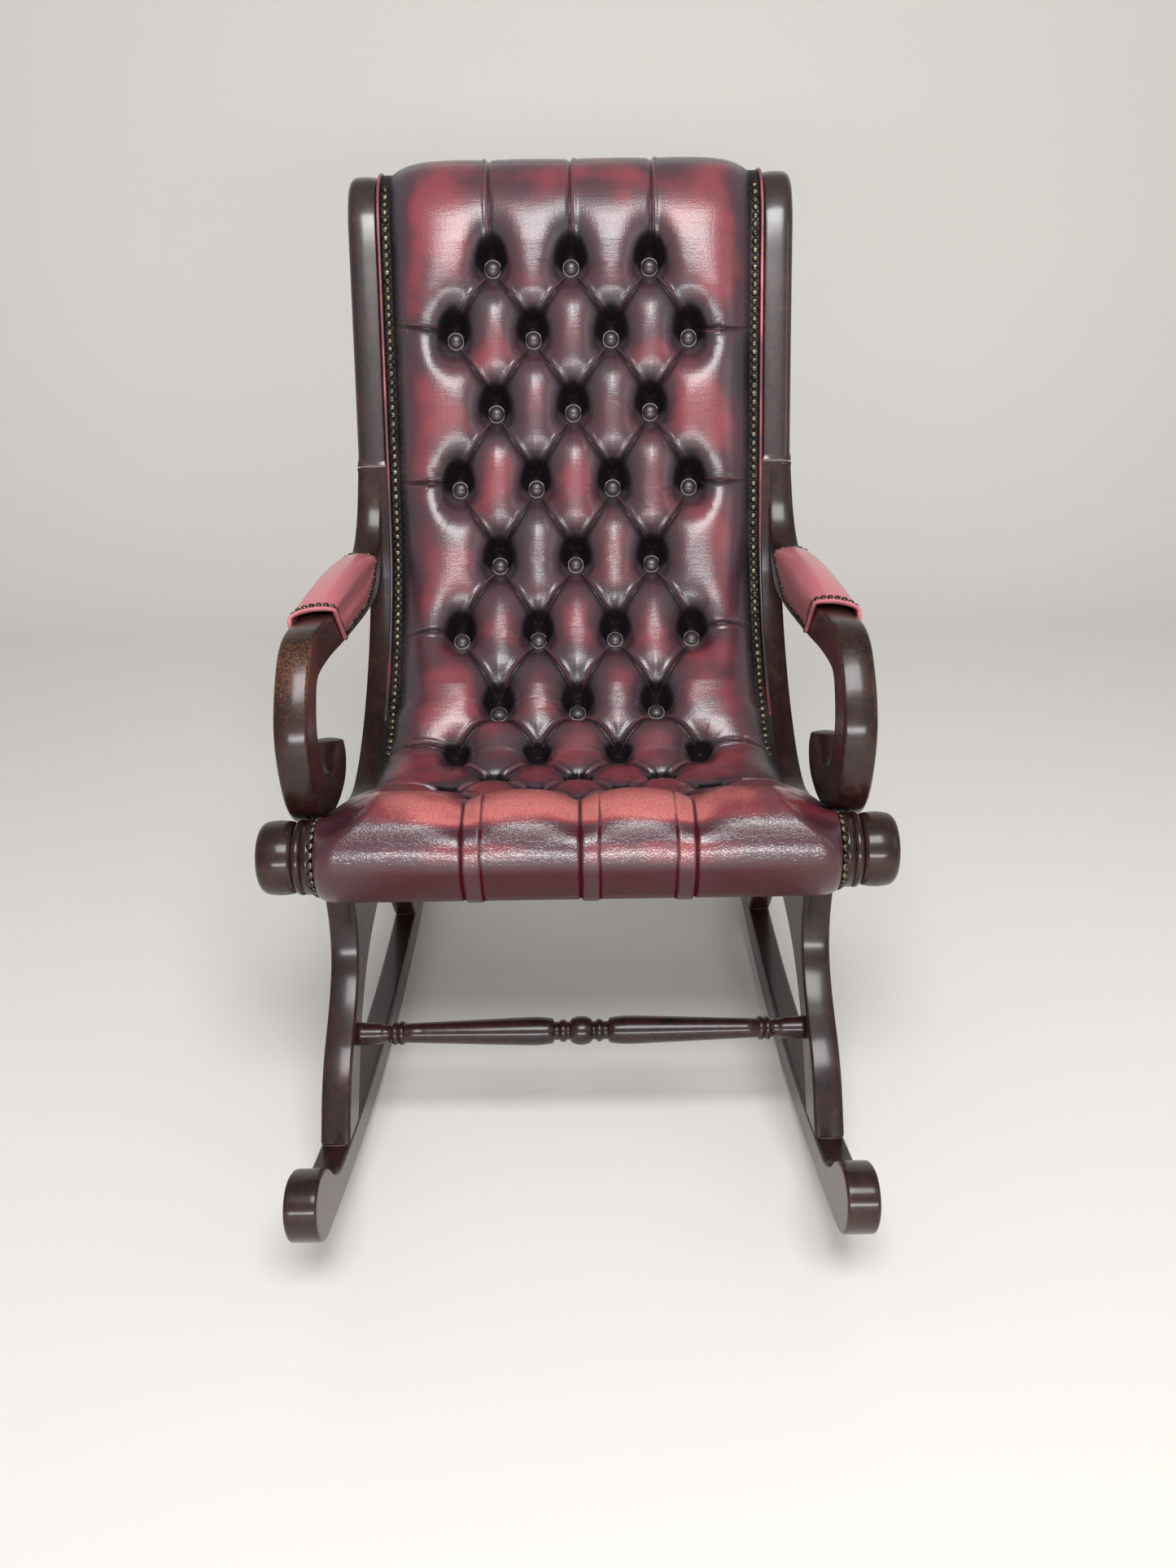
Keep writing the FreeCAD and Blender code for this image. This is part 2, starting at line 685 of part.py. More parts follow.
strap_depth = dim["stuffing_back"] + 2
rail_depth_behind = strap_depth + dim["strap_thick"] + 0.5
for label, at in (
    ("seat_rear_rail", (dim["crease_row"] + dim["first_row"]) / 2 + dim["rear_rail_rise"]),
    ("back_lower_rail", row_at(1.5)),
    ("back_top_rail", row_at(TOP_ROW) + dim["top_rail_rise"]),
):
    keep(cross_bar(label, at, rail_depth_behind, "cross_rail_thick", "cross_rail_height"), label)
seat_straps = [dim["crease_row"] - (0.3 + step) * dim["seat_tuft_row"] for step in range(3)]
back_straps = [row_at(number + 0.5) for number in range(TOP_ROW)]
for label, places in (("seat_webbing", seat_straps), ("back_webbing", back_straps)):
    group = doc.addObject("Part::Compound", f"{label}_straps")
    group.Links = [
        cross_bar(f"{label}_{number}", at, strap_depth, "strap_thick", "strap_width")
        for number, at in enumerate(places, start=1)
    ]
    keep(group, label)


# Covers: thin sheets stretched between the side frames, behind the back and under the seat.
def sheet_outline(stations, depth_behind):
    near = [behind(station, depth_behind) for station in stations]
    far = [behind(station, depth_behind + dim["cover_thick"]) for station in stations]
    return smooth(near) + [line(near[-1], far[-1])] + smooth(far) + [line(far[0], near[0])]


def cover(label, stations, depth_behind):
    body = doc.addObject("PartDesign::Body", f"{label}_sheet")
    sketch = add_sketch(body, f"{label}_outline", "YZ_Plane", sheet_outline(stations, depth_behind))
    pad = body.newObject("PartDesign::Pad", f"{label}_pad")
    pad.Profile = sketch
    pad.setExpression("Length", f"2 * {RAIL_INNER}")
    body.setExpression("Placement.Base.x", f"-{RAIL_INNER}")
    doc.recompute()
    return keep(body, label)


cover_depth = dim["rail_depth"] - dim["cover_thick"] - 0.5
neck_line = on_chain(rail_line, shoulder_at - 2 * nose_radius)
cover("rear_cover", [LAP, BEND, LUMBAR, SEAM, neck_line], cover_depth)
cover("bottom_cover", [on_chain(rail_line, 45), DIP, LOW, on_chain(rail_line, dim["first_row"] - 20)], cover_depth)

# Welts: leather piping between the stuffed back and each post.
welt_stations = [LAP, BEND, LUMBAR, SEAM, SHOULDER, CREST, SCROLL]
welt_front = [behind(station, -2) for station in welt_stations]
welt_back = [behind(station, 8) for station in welt_stations]
welt_outline = (
    smooth(welt_front)
    + [line(welt_front[-1], welt_back[-1])]
    + smooth(welt_back)
    + [line(welt_back[0], welt_front[0])]
)
WELT_INNER = f"{RAIL_INNER} - Dimensions.welt_width"
for word, side in SIDES:
    keep(board(f"{word}_welt_strip", welt_outline, "welt_width", WELT_INNER, side), f"{word}_back_welt")


# Stuffed leather: lofts through sections square to the rail line, with buttons drawn in.
def section_point(station, x, height):
    """A point of a cross section, at a height in front of or above the rail line."""
    y, z, heading = station
    angle = math.radians(heading)
    return V(x, y - height * math.sin(angle), z + height * math.cos(angle))


# Columns across the seat and back; narrow and wide rows of buttons alternate.
COLUMNS = [dim["tuft_column"] * number for number in range(-3, 4)]
NARROW_ROW = COLUMNS[1::2]
WIDE_ROW = COLUMNS[0::2]
NO_BUTTONS = []


def stuffed_section(station, half_width, crown, low_columns, low, swell):
    """A closed section: flat stuffing side, nailed lips, and a crown drawn in at some columns."""
    floor = dim["tuft_floor"]
    lip = dim["edge_lip"]
    top = [(-half_width, 0), (-half_width + lip, 0)]
    for x in COLUMNS:
        drawn_in = any(abs(x - column) < 1 for column in low_columns)
        height = low if drawn_in else crown
        top += [(x - floor, height), (x + floor, height)]
    top += [(half_width - lip, 0), (half_width, 0)]
    base = [(half_width, -dim["stuffing_back"]), (-half_width, -dim["stuffing_back"])]
    points = [section_point(station, x, height) for x, height in top + base]
    outward = section_point(station, 0, 1) - section_point(station, 0, 0)
    edges = []
    for number, (start, end) in enumerate(zip(points, points[1:] + points[:1])):
        is_pillow = 1 <= number <= len(top) - 3 and number % 2 == 1
        if is_pillow and swell > 0:
            edges.append(Part.Arc(start, (start + end) / 2 + outward * swell, end).toShape())
        else:
            edges.append(Part.makeLine(start, end))
    return Part.Wire(edges)


def stuffed(sections):
    """Solid through the sections, straight from one to the next."""
    return Part.makeLoft([stuffed_section(*section) for section in sections], True, True)


seat_half = dim["rail_inner"] - dim["fit_clearance"]
back_half = dim["rail_inner"] - dim["welt_width"] - 2 * dim["fit_clearance"]
floor = dim["tuft_floor"]
low = dim["tuft_depth"]
seat_crown = dim["seat_crown"]
back_crown = dim["back_crown"]
pillow_swell = dim["pillow_swell"]
crease = dim["crease_row"]
gap = dim["fit_clearance"]


def seat_row_at(number):
    """Distance of a seat button row along the rail line, counted forward from the crease."""
    return crease - number * dim["seat_tuft_row"]


def tufted_rows(rows, crown):
    """Sections just before and after each button row, with a full section between rows."""
    sections = []
    for number, (at, columns) in enumerate(rows):
        if number:
            between = (rows[number - 1][0] + at) / 2
            sections.append((between, crown, NO_BUTTONS, crown - 7, 2))
        sections.append((at - floor, crown, columns, low, pillow_swell))
        sections.append((at + floor, crown, columns, low, pillow_swell))
    return sections


def placed(sections, half_width):
    return [
        (on_chain(rail_line, at), half_width, crown, columns, low_height, swell)
        for at, crown, columns, low_height, swell in sections
    ]


seat_rows = [(seat_row_at(3), NARROW_ROW), (seat_row_at(2), WIDE_ROW), (seat_row_at(1), NARROW_ROW)]
seat_start = (dim["rail_front_y"] + gap, dim["rail_front_z"], 0)
seat_end = (crease - gap, seat_crown - 8, WIDE_ROW, low, 2)
seat_sections = (
    [(seat_start, seat_half, seat_crown, NO_BUTTONS, seat_crown, 3)]
    + placed(tufted_rows(seat_rows, seat_crown) + [seat_end], seat_half)
)
shaped("seat_cushion", stuffed(seat_sections))

back_rows = [(row_at(number), WIDE_ROW if number % 2 else NARROW_ROW) for number in range(TOP_ROW + 1)]
back_start = (crease + gap, seat_crown - 8, WIDE_ROW, low, 2)
PLEATS = NARROW_ROW
crest_reach = rail_length - shoulder_at
back_top = [
    (shoulder_at + crest_reach * share, crown, PLEATS, crown - 3, 2)
    for share, crown in ((-0.08, 30), (0.22, 22), (0.42, 14), (0.6, 11), (0.8, 11), (0.97, 9))
]
back_sections = placed([back_start] + tufted_rows(back_rows, back_crown) + back_top, back_half)
shaped("back_cushion", stuffed(back_sections))


def button_cap(radius, height):
    """A domed button, flat underneath."""
    ball = (radius ** 2 + height ** 2) / (2 * height)
    start = math.degrees(math.asin((ball - height) / ball))
    return Part.makeSphere(ball, V(0, 0, height - ball), V(0, 0, 1), start, 90, 360)


def seated(shape, station, x, height):
    """A small piece set on the leather, square to it."""
    piece = shape.copy()
    tilt = FreeCAD.Rotation(V(1, 0, 0), station[2])
    piece.Placement = FreeCAD.Placement(section_point(station, x, height), tilt)
    return piece


def button_group(label, rows):
    cap = button_cap(dim["button_radius"], dim["button_height"])
    caps = [
        seated(cap, on_chain(rail_line, at), x, low + dim["button_gap"])
        for at, columns in rows
        for x in columns
    ]
    shaped(label, Part.makeCompound(caps))


button_group("seat_buttons", seat_rows[1:])
button_group("back_buttons", back_rows)


# Decorative nails: one row down each edge of the back, a ring at each end of the roll.
def lip_polyline():
    """The straight runs of the back's nailed lip, from section to section."""
    return [section_point(section[0], 0, 0) for section in back_sections]


def lip_stations(first, last, pitch):
    """Evenly spaced stations along the nailed lip."""
    stations = []
    travelled = 0
    target = first
    points = lip_polyline()
    for start, end in zip(points, points[1:]):
        run = end - start
        heading = math.degrees(math.atan2(run.z, run.y))
        while target <= min(travelled + run.Length, last):
            point = start + run * ((target - travelled) / run.Length)
            stations.append((point.y, point.z, heading))
            target += pitch
        travelled += run.Length
    return stations


nail = Part.makeCone(dim["nail_radius"], dim["nail_radius"] * 0.45, dim["nail_height"])
nail_x = back_half - dim["nail_radius"] - 0.5
nail_last = shoulder_at - crease + 30
for word, side in SIDES:
    row = [
        seated(nail, station, side * nail_x, 0)
        for station in lip_stations(dim["nail_pitch"], nail_last, dim["nail_pitch"])
    ]
    shaped(f"{word}_back_nails", Part.makeCompound(row))

ring_radius = dim["end_disc_radius"] + gap
ring_count = int(2 * math.pi * ring_radius / (2 * dim["nail_radius"] + 1.2))
for word, side in SIDES:
    nails = []
    for number in range(ring_count):
        angle = 2 * math.pi * number / ring_count
        outward = V(0, math.cos(angle), math.sin(angle))
        x = side * (disc_x + dim["end_disc_thick"] / 2)
        spot = V(x, roll_y, roll_z) + outward * ring_radius
        piece = nail.copy()
        piece.Placement = FreeCAD.Placement(spot, FreeCAD.Rotation(V(0, 0, 1), outward))
        nails.append(piece)
    shaped(f"{word}_roll_nails", Part.makeCompound(nails))


# The front roll: leather stuffed over the front rail, drawn in at three pleats and at its ends.
def roll_section(x, radius, lift):
    rear = dim["rail_front_y"]
    front = rear - dim["core_depth"] - gap
    half = dim["core_height"] / 2 + gap
    rise = math.sqrt(radius ** 2 - (rear - roll_y) ** 2)

    def at(y, z):
        return V(x, y, roll_z + z)

    def on_roll(degrees):
        angle = math.radians(degrees)
        return at(roll_y + radius * math.cos(angle), lift + radius * math.sin(angle))

    start = math.degrees(math.atan2(rise, rear - roll_y))
    quarter = (180 + start) / 2
    return Part.Wire([
        Part.Arc(at(rear, lift + rise), on_roll(quarter), on_roll(HALF_TURN)).toShape(),
        Part.Arc(on_roll(HALF_TURN), on_roll(2 * HALF_TURN - quarter), at(rear, lift - rise)).toShape(),
        Part.makeLine(at(rear, lift - rise), at(rear, -half)),
        Part.makeLine(at(rear, -half), at(front, -half)),
        Part.makeLine(at(front, -half), at(front, half)),
        Part.makeLine(at(front, half), at(rear, half)),
        Part.makeLine(at(rear, half), at(rear, lift + rise)),
    ])


roll_full = (dim["roll_radius"], dim["roll_lift"])
roll_drawn = (dim["roll_radius"] - dim["roll_pleat_depth"], dim["roll_lift"])
roll_half = disc_x - dim["roll_end_gap"]
pleat_x = dim["roll_pleat_x"]
pleat_half = dim["roll_pleat_half"]
roll_stops = [
    (roll_half, dim["roll_end_radius"], 0),
    (roll_half - 12, dim["roll_radius"] - 7, dim["roll_lift"] / 2),
    (roll_half - 50, *roll_full),
    (pleat_x + pleat_half, *roll_full),
    (pleat_x, *roll_drawn),
    (pleat_x - pleat_half, *roll_full),
    (pleat_half, *roll_full),
    (0, *roll_drawn),
]
roll_sections = roll_stops + [(-x, radius, lift) for x, radius, lift in reversed(roll_stops) if x > 0]
shaped("front_roll", Part.makeLoft([roll_section(*stop) for stop in roll_sections], True, True))


# Arm pads: domed leather pads on the arm bars.
def pad_section(side, y, width, height):
    base = dim["arm_top_z"]

    def at(x, z):
        return V(side * (arm_inner(y) + dim["arm_width"] / 2) + x, y, base + z)

    half = width / 2
    shoulder = height * 0.62
    tuck = half - 3
    return Part.Wire([
        Part.makeLine(at(-tuck, 0), at(tuck, 0)),
        Part.Arc(at(tuck, 0), at(half, shoulder * 0.5), at(tuck, shoulder)).toShape(),
        Part.Arc(at(tuck, shoulder), at(0, height), at(-tuck, shoulder)).toShape(),
        Part.Arc(at(-tuck, shoulder), at(-half, shoulder * 0.5), at(-tuck, 0)).toShape(),
    ])


for word, side in SIDES:
    front, rear = dim["pad_front_y"], dim["pad_rear_y"]
    width, height = dim["pad_width"], dim["pad_height"]
    stops = [
        (front, width - 4, height - 8),
        (front + 12, width, height - 1),
        ((front + rear) / 2, width, height),
        (rear - 16, width, height - 1),
        (rear, width - 6, height - 9),
    ]
    shaped(f"{word}_arm_pad", Part.makeLoft([pad_section(side, *stop) for stop in stops], True, True))

# Every object must have come out whole before anything is written.
doc.recompute()
for item in doc.Objects:
    if "Invalid" in item.State or "Error" in item.State:
        raise RuntimeError(f"{item.Label} failed: {item.State}")
for piece in parts:
    if piece.Shape.isNull() or not piece.Shape.isValid():
        raise RuntimeError(f"{piece.Label} is not a sound solid")

os.makedirs("parts", exist_ok=True)
for piece in parts:
    piece.Shape.exportStep(f"parts/{piece.Label}.step")
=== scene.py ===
import math

import bpy
import numpy as np
from bpy.props import FloatProperty, FloatVectorProperty, IntProperty, PointerProperty
from bpy.types import Operator, Panel, PropertyGroup
from mathutils import Matrix


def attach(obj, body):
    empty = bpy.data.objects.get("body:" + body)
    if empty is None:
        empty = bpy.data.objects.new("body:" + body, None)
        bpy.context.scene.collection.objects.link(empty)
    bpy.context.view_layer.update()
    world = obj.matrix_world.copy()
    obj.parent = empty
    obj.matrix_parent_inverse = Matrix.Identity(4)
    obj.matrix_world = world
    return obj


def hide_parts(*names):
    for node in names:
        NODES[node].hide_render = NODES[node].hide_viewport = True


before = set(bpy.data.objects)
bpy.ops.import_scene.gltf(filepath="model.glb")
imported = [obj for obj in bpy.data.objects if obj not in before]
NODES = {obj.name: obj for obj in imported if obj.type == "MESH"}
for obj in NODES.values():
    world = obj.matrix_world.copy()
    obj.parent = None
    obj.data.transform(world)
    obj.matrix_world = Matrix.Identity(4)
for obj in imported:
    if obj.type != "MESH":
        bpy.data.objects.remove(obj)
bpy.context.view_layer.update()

bl_info = {
    "name": "Buttoned leather rocking chair",
    "version": (1, 0, 0),
    "blender": (4, 5, 0),
    "location": "3D View > Sidebar > Chair",
    "description": "Dresses the packed rocking chair in buttoned leather, stained wood and brass nails",
    "category": "Object",
}

SIDES = (("left", -1), ("right", 1))

# The seam of post and arm above the side rail: a place (y, z) on it and the rail's heading there in degrees.
POST_SEAM = (0.259, 0.650, 74)
# The rail line in the side view: y, z in metres and the heading in degrees, from the seat front to the scroll.
RAIL_STATIONS = (
    (-0.160, 0.374, -22), (-0.080, 0.346, -12), (0.000, 0.338, 14), (0.100, 0.390, 37), (0.165, 0.450, 48),
    (0.218, 0.527, 63), POST_SEAM, (0.330, 0.915, 76), (0.390, 0.976, 0), (0.430, 0.934, -95),
)
# Distances along the rail line: the start of the back, and the shoulder where it turns into the scroll.
BACK_FROM, SHOULDER = 0.22, 0.8663
# Rows of pits, from the roll up: distance along the rail line, number of pits, and whether they carry buttons.
PIT_ROWS = (
    (0.030, 3, False), (0.085, 4, True), (0.140, 3, True), (0.195, 4, False),
    (0.268, 3, True), (0.370, 4, True), (0.468, 3, True), (0.562, 4, True),
    (0.652, 3, True), (0.738, 4, True), (0.820, 3, True),
)
SEAT_ROWS = 4
COLUMN = 0.047  # half the spacing of the pits in a row
# Half width of a pit, and its reach above and below the button.
BACK_PIT, SEAT_PIT, FRONT_PIT = (0.0215, 0.043, 0.021), (0.019, 0.024, 0.019), (0.026, 0.020, 0.022)
SEAM_REACH = 0.012  # beyond this distance a pleat has no line or rubbed edge
# The dark well is the painted shadow of the pit's steep upper wall over the antique finish in the pit, so it lies
# above the button.
WELL_RISE = 0.010  # a dark well's middle lies this far above its button
# Height of the stuffing at distances along the rail line.
CROWNS = (
    (0.000, 0.014), (0.030, 0.020), (0.085, 0.025), (0.150, 0.024), (0.195, 0.021), (0.240, 0.030), (0.300, 0.038),
    (0.800, 0.038), (0.853, 0.033), (0.901, 0.024), (0.932, 0.016), (0.961, 0.012), (0.992, 0.011), (1.024, 0.009),
)
ROLL_AXIS = (-0.196, 0.347)  # y, z
ROLL_PLEATS = ((-0.110, 1), (0.003, 1), (0.113, -1))  # x, and the side to which the pleat's band lies
ROCKER_MIDDLE, ROCKER_TOP, ROCKER_RADIUS = 0.0764, 0.0325, 1.868  # y, z and radius of a rocker's upper face
ARM_THICK = 0.033
COVER_DEPTH = 0.0435  # the covers lie this far behind the rail line
PAD_CORNERS = (0.3, 0.7)  # an arm pad's top lies between these shares of its width
SIM_STRIDE, SIM_FRAMES = 4, 20

# CAD nodes that keep their mesh, by the material that they are given.
KEPT_NODES = {
    "wood along": ("left_side_rail", "right_side_rail"),
    "bare wood": ("seat_front_rail", "seat_rear_rail", "back_lower_rail", "back_top_rail", "frame_dowels"),
    "webbing": ("seat_webbing", "back_webbing"),
}
# The materials of the pieces, by their key.
MATERIALS = {}


def linear(code):
    """Linear RGB of an sRGB hex value."""
    parts = [int(code[i:i + 2], 16) / 255 for i in (1, 3, 5)]
    return tuple(c / 12.92 if c <= 0.04045 else ((c + 0.055) / 1.055) ** 2.4 for c in parts)


def length_property(name, text, default):
    """A length in metres."""
    return FloatProperty(name=name, description=text, default=default, min=0.0, unit="LENGTH", precision=4)


def colour_property(name, text, code):
    """A colour given by its sRGB hex value."""
    return FloatVectorProperty(name=name, description=text, default=linear(code), subtype="COLOR", min=0, max=1)


class LeatherSizes(PropertyGroup):
    """Sizes of the buttoned leather."""

    grid: length_property("Grid", "Spacing of the leather's mesh", 0.0016)
    seat_half: length_property("Seat half width", "Half the width between the side rails", 0.2317)
    back_half: length_property("Back half width", "Half the width between the welts", 0.2268)
    pleat_width: length_property("Pleat width", "Reach of the valley along a pleat", 0.0120)
    crease: length_property("Crease depth", "Depth of the sharp fold in a pleat", 0.0035)
    edge: length_property("Edge reach", "Distance in which the stuffing rises from the nail row", 0.0200)
    lip: length_property("Lip", "Thickness of the leather at the nail row", 0.0012)
    lean: FloatProperty(name="Lean", description="How far the pillows hang down over the buttons", default=0.22)


class RollSizes(PropertyGroup):
    """Sizes of the rolled seat front."""

    radius: length_property("Radius", "Radius of the full roll", 0.055)
    half: length_property("Half length", "Half the length between the end discs", 0.254)
    end_radius: length_property("End radius", "Radius of the gathered ends", 0.0385)
    shoulder: length_property("Shoulder", "Length of the sloping top at the ends", 0.062)


class WoodSizes(PropertyGroup):
    """Edge sizes of the wooden frame."""

    edge: length_property("Edge radius", "Radius of the edges of legs, rockers and arms", 0.0030)
    soft_edge: length_property("Soft edge radius", "Radius of the outer edges of arms and posts", 0.0085)
    crown: length_property("Face crown", "How far the front faces are rounded across their width", 0.0022)
    step: length_property("Outline step", "Spacing of points along an outline", 0.0030)


class TrimSizes(PropertyGroup):
    """Sizes of nails and buttons."""

    nail_radius: length_property("Nail radius", "Radius of a decorative nail's head", 0.0047)
    nail_height: length_property("Nail height", "Height of a decorative nail's head", 0.0028)
    nail_pitch: length_property("Nail pitch", "Spacing of the decorative nails", 0.0098)
    nail_line: length_property("Nail line", "Distance of the nail rows from the middle of the back", 0.2216)
    pad_nail: length_property("Pad nail radius", "Radius of the small nails round an arm pad", 0.0034)
    button_radius: length_property("Button radius", "Radius of a covered button", 0.0096)
    seed: IntProperty(name="Seed", description="Seed of the small differences between nails", default=7)


class Colours(PropertyGroup):
    """Colours of the materials."""

    # The back's darker tones are the antique finish of the hollows together with painted shade on the slopes, in the
    # wells and in the pleat creases.
    leather_bright: colour_property("Leather bright", "Rubbed patches on the crowns of the back", "#7d333c")
    leather_red: colour_property("Leather red", "Crowns of the back", "#4b2930")
    leather_brown: colour_property("Leather brown", "Slopes of the back", "#352a31")
    leather_dark: colour_property("Leather dark", "Antiqued leather in the hollows", "#161115")
    roll_bright: colour_property("Roll bright", "Rubbed top of the roll", "#ba645f")
    roll_red: colour_property("Roll red", "Leather of the roll", "#7a2a31")
    roll_brown: colour_property("Roll brown", "Antiqued ends of the roll", "#40202a")
    # The roll's darkest tone is painted shade: the underside and the pleat creases.
    roll_dark: colour_property("Roll dark", "Underside of the roll", "#3e0e15")
    leather_pad: colour_property("Pad leather", "Leather of the arm pads", "#bd6a71")
    wood_dark: colour_property("Dark wood", "Stained wood", "#0d0606")
    wood_warm: colour_property("Warm wood", "Stained wood where the grain shows", "#2f1815")
    brass: colour_property("Antique brass", "Nail heads", "#756c5b")


def piece_from(name, points, faces, material, nodes=()):
    """A closed, smoothly shaded mesh piece that rides on the chair's body."""
    mesh = bpy.data.meshes.new(name)
    mesh.from_pydata([tuple(p) for p in points], [], [tuple(f) for f in faces])
    mesh.update()
    mesh.validate()
    mesh.shade_smooth()
    mesh.materials.append(MATERIALS[material])
    return settled(name, mesh, nodes)


def settled(name, mesh, nodes=()):
    """The piece of a mesh, with its body and the CAD nodes that it stands for."""
    piece = bpy.data.objects.new(name, mesh)
    bpy.context.scene.collection.objects.link(piece)
    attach(piece, "root")
    if nodes:
        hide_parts(*nodes)
    return piece


def write_attribute(piece, name, values):
    """Stores one number per vertex for the material."""
    layer = piece.data.attributes.new(name, "FLOAT", "POINT")
    layer.data.foreach_set("value", np.asarray(values, np.float32).ravel())


def node_points(node):
    """The vertices of a CAD node."""
    return np.array([v.co for v in NODES[node].data.vertices])


def grid_faces(rows, columns, first=0, wrap=False):
    """Quads of a grid of points; wrap joins the last column to the first."""
    i, j = np.meshgrid(np.arange(rows - 1), np.arange(columns if wrap else columns - 1), indexing="ij")
    k = (j + 1) % columns
    quads = np.stack((i * columns + j, i * columns + k, (i + 1) * columns + k, (i + 1) * columns + j), -1)
    return quads.reshape(-1, 4) + first


def tube(rings, flip):
    """Points and faces of a closed tube through rings of points, with flat ends; flip turns its faces over."""
    rows, count = np.shape(rings)[:2]
    faces = [tuple(f) for f in grid_faces(rows, count, wrap=True)]
    faces += [tuple(range(count))[::-1], tuple(range((rows - 1) * count, rows * count))]
    return np.reshape(rings, (-1, 3)), [f[::-1] for f in faces] if flip else faces


def run_lengths(path):
    """The distance along a path at each of its points."""
    return np.append(0, np.cumsum(np.linalg.norm(np.diff(path, axis=0), axis=1)))


def smoothstep(low, high, value):
    """0 at low, 1 at high and a smooth rise between; low may be the larger."""
    t = np.clip((value - low) / (high - low), 0, 1)
    return t * t * (3 - 2 * t)


def arc_run(start, heading, end, step):
    """Points and headings along the arc that leaves start along a heading and ends at end."""
    along = np.array((math.cos(heading), math.sin(heading)))
    across = np.array((-along[1], along[0]))
    chord = end - start
    turn = 2 * math.atan2(chord @ across, chord @ along)
    length = np.linalg.norm(chord)
    if abs(turn) > 1e-9:
        length *= turn / 2 / math.sin(turn / 2)
    t = np.linspace(0, 1, max(2, math.ceil(length / step) + 1))
    if abs(turn) <= 1e-9:
        return start + chord * t[:, None], heading + 0 * t
    radius = length / turn
    bend = np.sin(turn * t)[:, None] * along + (1 - np.cos(turn * t))[:, None] * across
    return start + radius * bend, heading + turn * t


def rail_line(step=0.001):
    """Distance, points and headings along the rail line, two tangent arcs between each pair of stations."""
    points, headings = [], []
    for (y0, z0, h0), (y1, z1, h1) in zip(RAIL_STATIONS, RAIL_STATIONS[1:]):
        start, end = np.array((y0, z0)), np.array((y1, z1))
        a0, a1 = math.radians(h0), math.radians(h1)
        d0, d1 = (np.array((math.cos(a), math.sin(a))) for a in (a0, a1))
        chord, both = end - start, d0 + d1
        b = chord @ both
        c = 2 * (1 - d0 @ d1)
        if abs(c) < 1e-9:
            reach = chord @ chord / (4 * chord @ d0)
        else:
            reach = (math.sqrt(b * b + c * (chord @ chord)) - b) / c
        middle = (start + d0 * reach + end - d1 * reach) / 2
        first, first_turn = arc_run(start, a0, middle, step)
        second, second_turn = arc_run(end, a1 + math.pi, middle, step)
        points += [first, second[::-1]]
        headings += [first_turn, second_turn[::-1] - math.pi]
    points, headings = np.concatenate(points), np.concatenate(headings)
    keep = np.append(True, np.linalg.norm(np.diff(points, axis=0), axis=1) > 1e-7)
    points, headings = points[keep], headings[keep]
    return run_lengths(points), points, headings


RAIL_AT, RAIL_POINTS, RAIL_HEADINGS = rail_line()
RAIL_END = float(RAIL_AT[-1])


def rail_facing(at):
    """Directions straight out of the rail line at distances along it."""
    heading = np.interp(at, RAIL_AT, RAIL_HEADINGS)
    return np.stack((0 * heading, -np.sin(heading), np.cos(heading)), -1)


def on_rail(x, at, height):
    """Places at a distance along the rail line and a height in front of it."""
    heading = np.interp(at, RAIL_AT, RAIL_HEADINGS)
    y = np.interp(at, RAIL_AT, RAIL_POINTS[:, 0]) - height * np.sin(heading)
    z = np.interp(at, RAIL_AT, RAIL_POINTS[:, 1]) + height * np.cos(heading)
    return np.stack(np.broadcast_arrays(x, y, z), -1)


def pits():
    """Rows of pit places: (x, at, carries a button)."""
    rows = []
    for at, count, button in PIT_ROWS:
        rows.append([((2 * i - count + 1) * COLUMN, at, button) for i in range(count)])
    return rows


def pleats():
    """Curves of the folds, from the upper end to the lower one, with the sign of their outer side and their depth."""
    rows = pits()
    curves = []

    def fold(top, end, bow, sign, depth):
        t = np.linspace(0, 1, 6)[:, None]
        top, end, bow = np.array(top), np.array(end), np.array(bow)
        curves.append(((1 - t) ** 2 * top + 2 * t * (1 - t) * bow + t * t * end, sign, depth))

    for lower, upper in zip(rows, rows[1:]):
        for xu, su, _ in upper:
            for xl, sl, _ in lower:
                if abs(xu - xl) < 1.3 * COLUMN:
                    drop = 0.26 if su > BACK_FROM else 0.12
                    end = (xl + 0.10 * (xu - xl), sl + drop * (su - sl))
                    bow = (xu + 0.56 * (end[0] - xu), su + 0.46 * (end[1] - su))
                    fold((xu, su - 0.004), end, bow, math.copysign(1, xl - xu), 1.0)
    for number, row in enumerate(rows[1:], start=1):
        if len(row) == 4:
            for x, s, _ in (row[0], row[-1]):
                edge = math.copysign(0.232, x)
                rise = 0.010 + 0.006 * math.sin(2.3 * number + (1.7 if x > 0 else 0))
                fold((x, s + 0.010), (edge, s + rise), ((x + edge) / 2, s + rise + 0.008), 1, 0.7)
    for x, s, _ in rows[-1]:
        fold((x * 1.06, RAIL_END), (x, s + 0.02), (x * 1.03, (s + RAIL_END) / 2), math.copysign(1, x + 0.001), 0.3)
    return curves


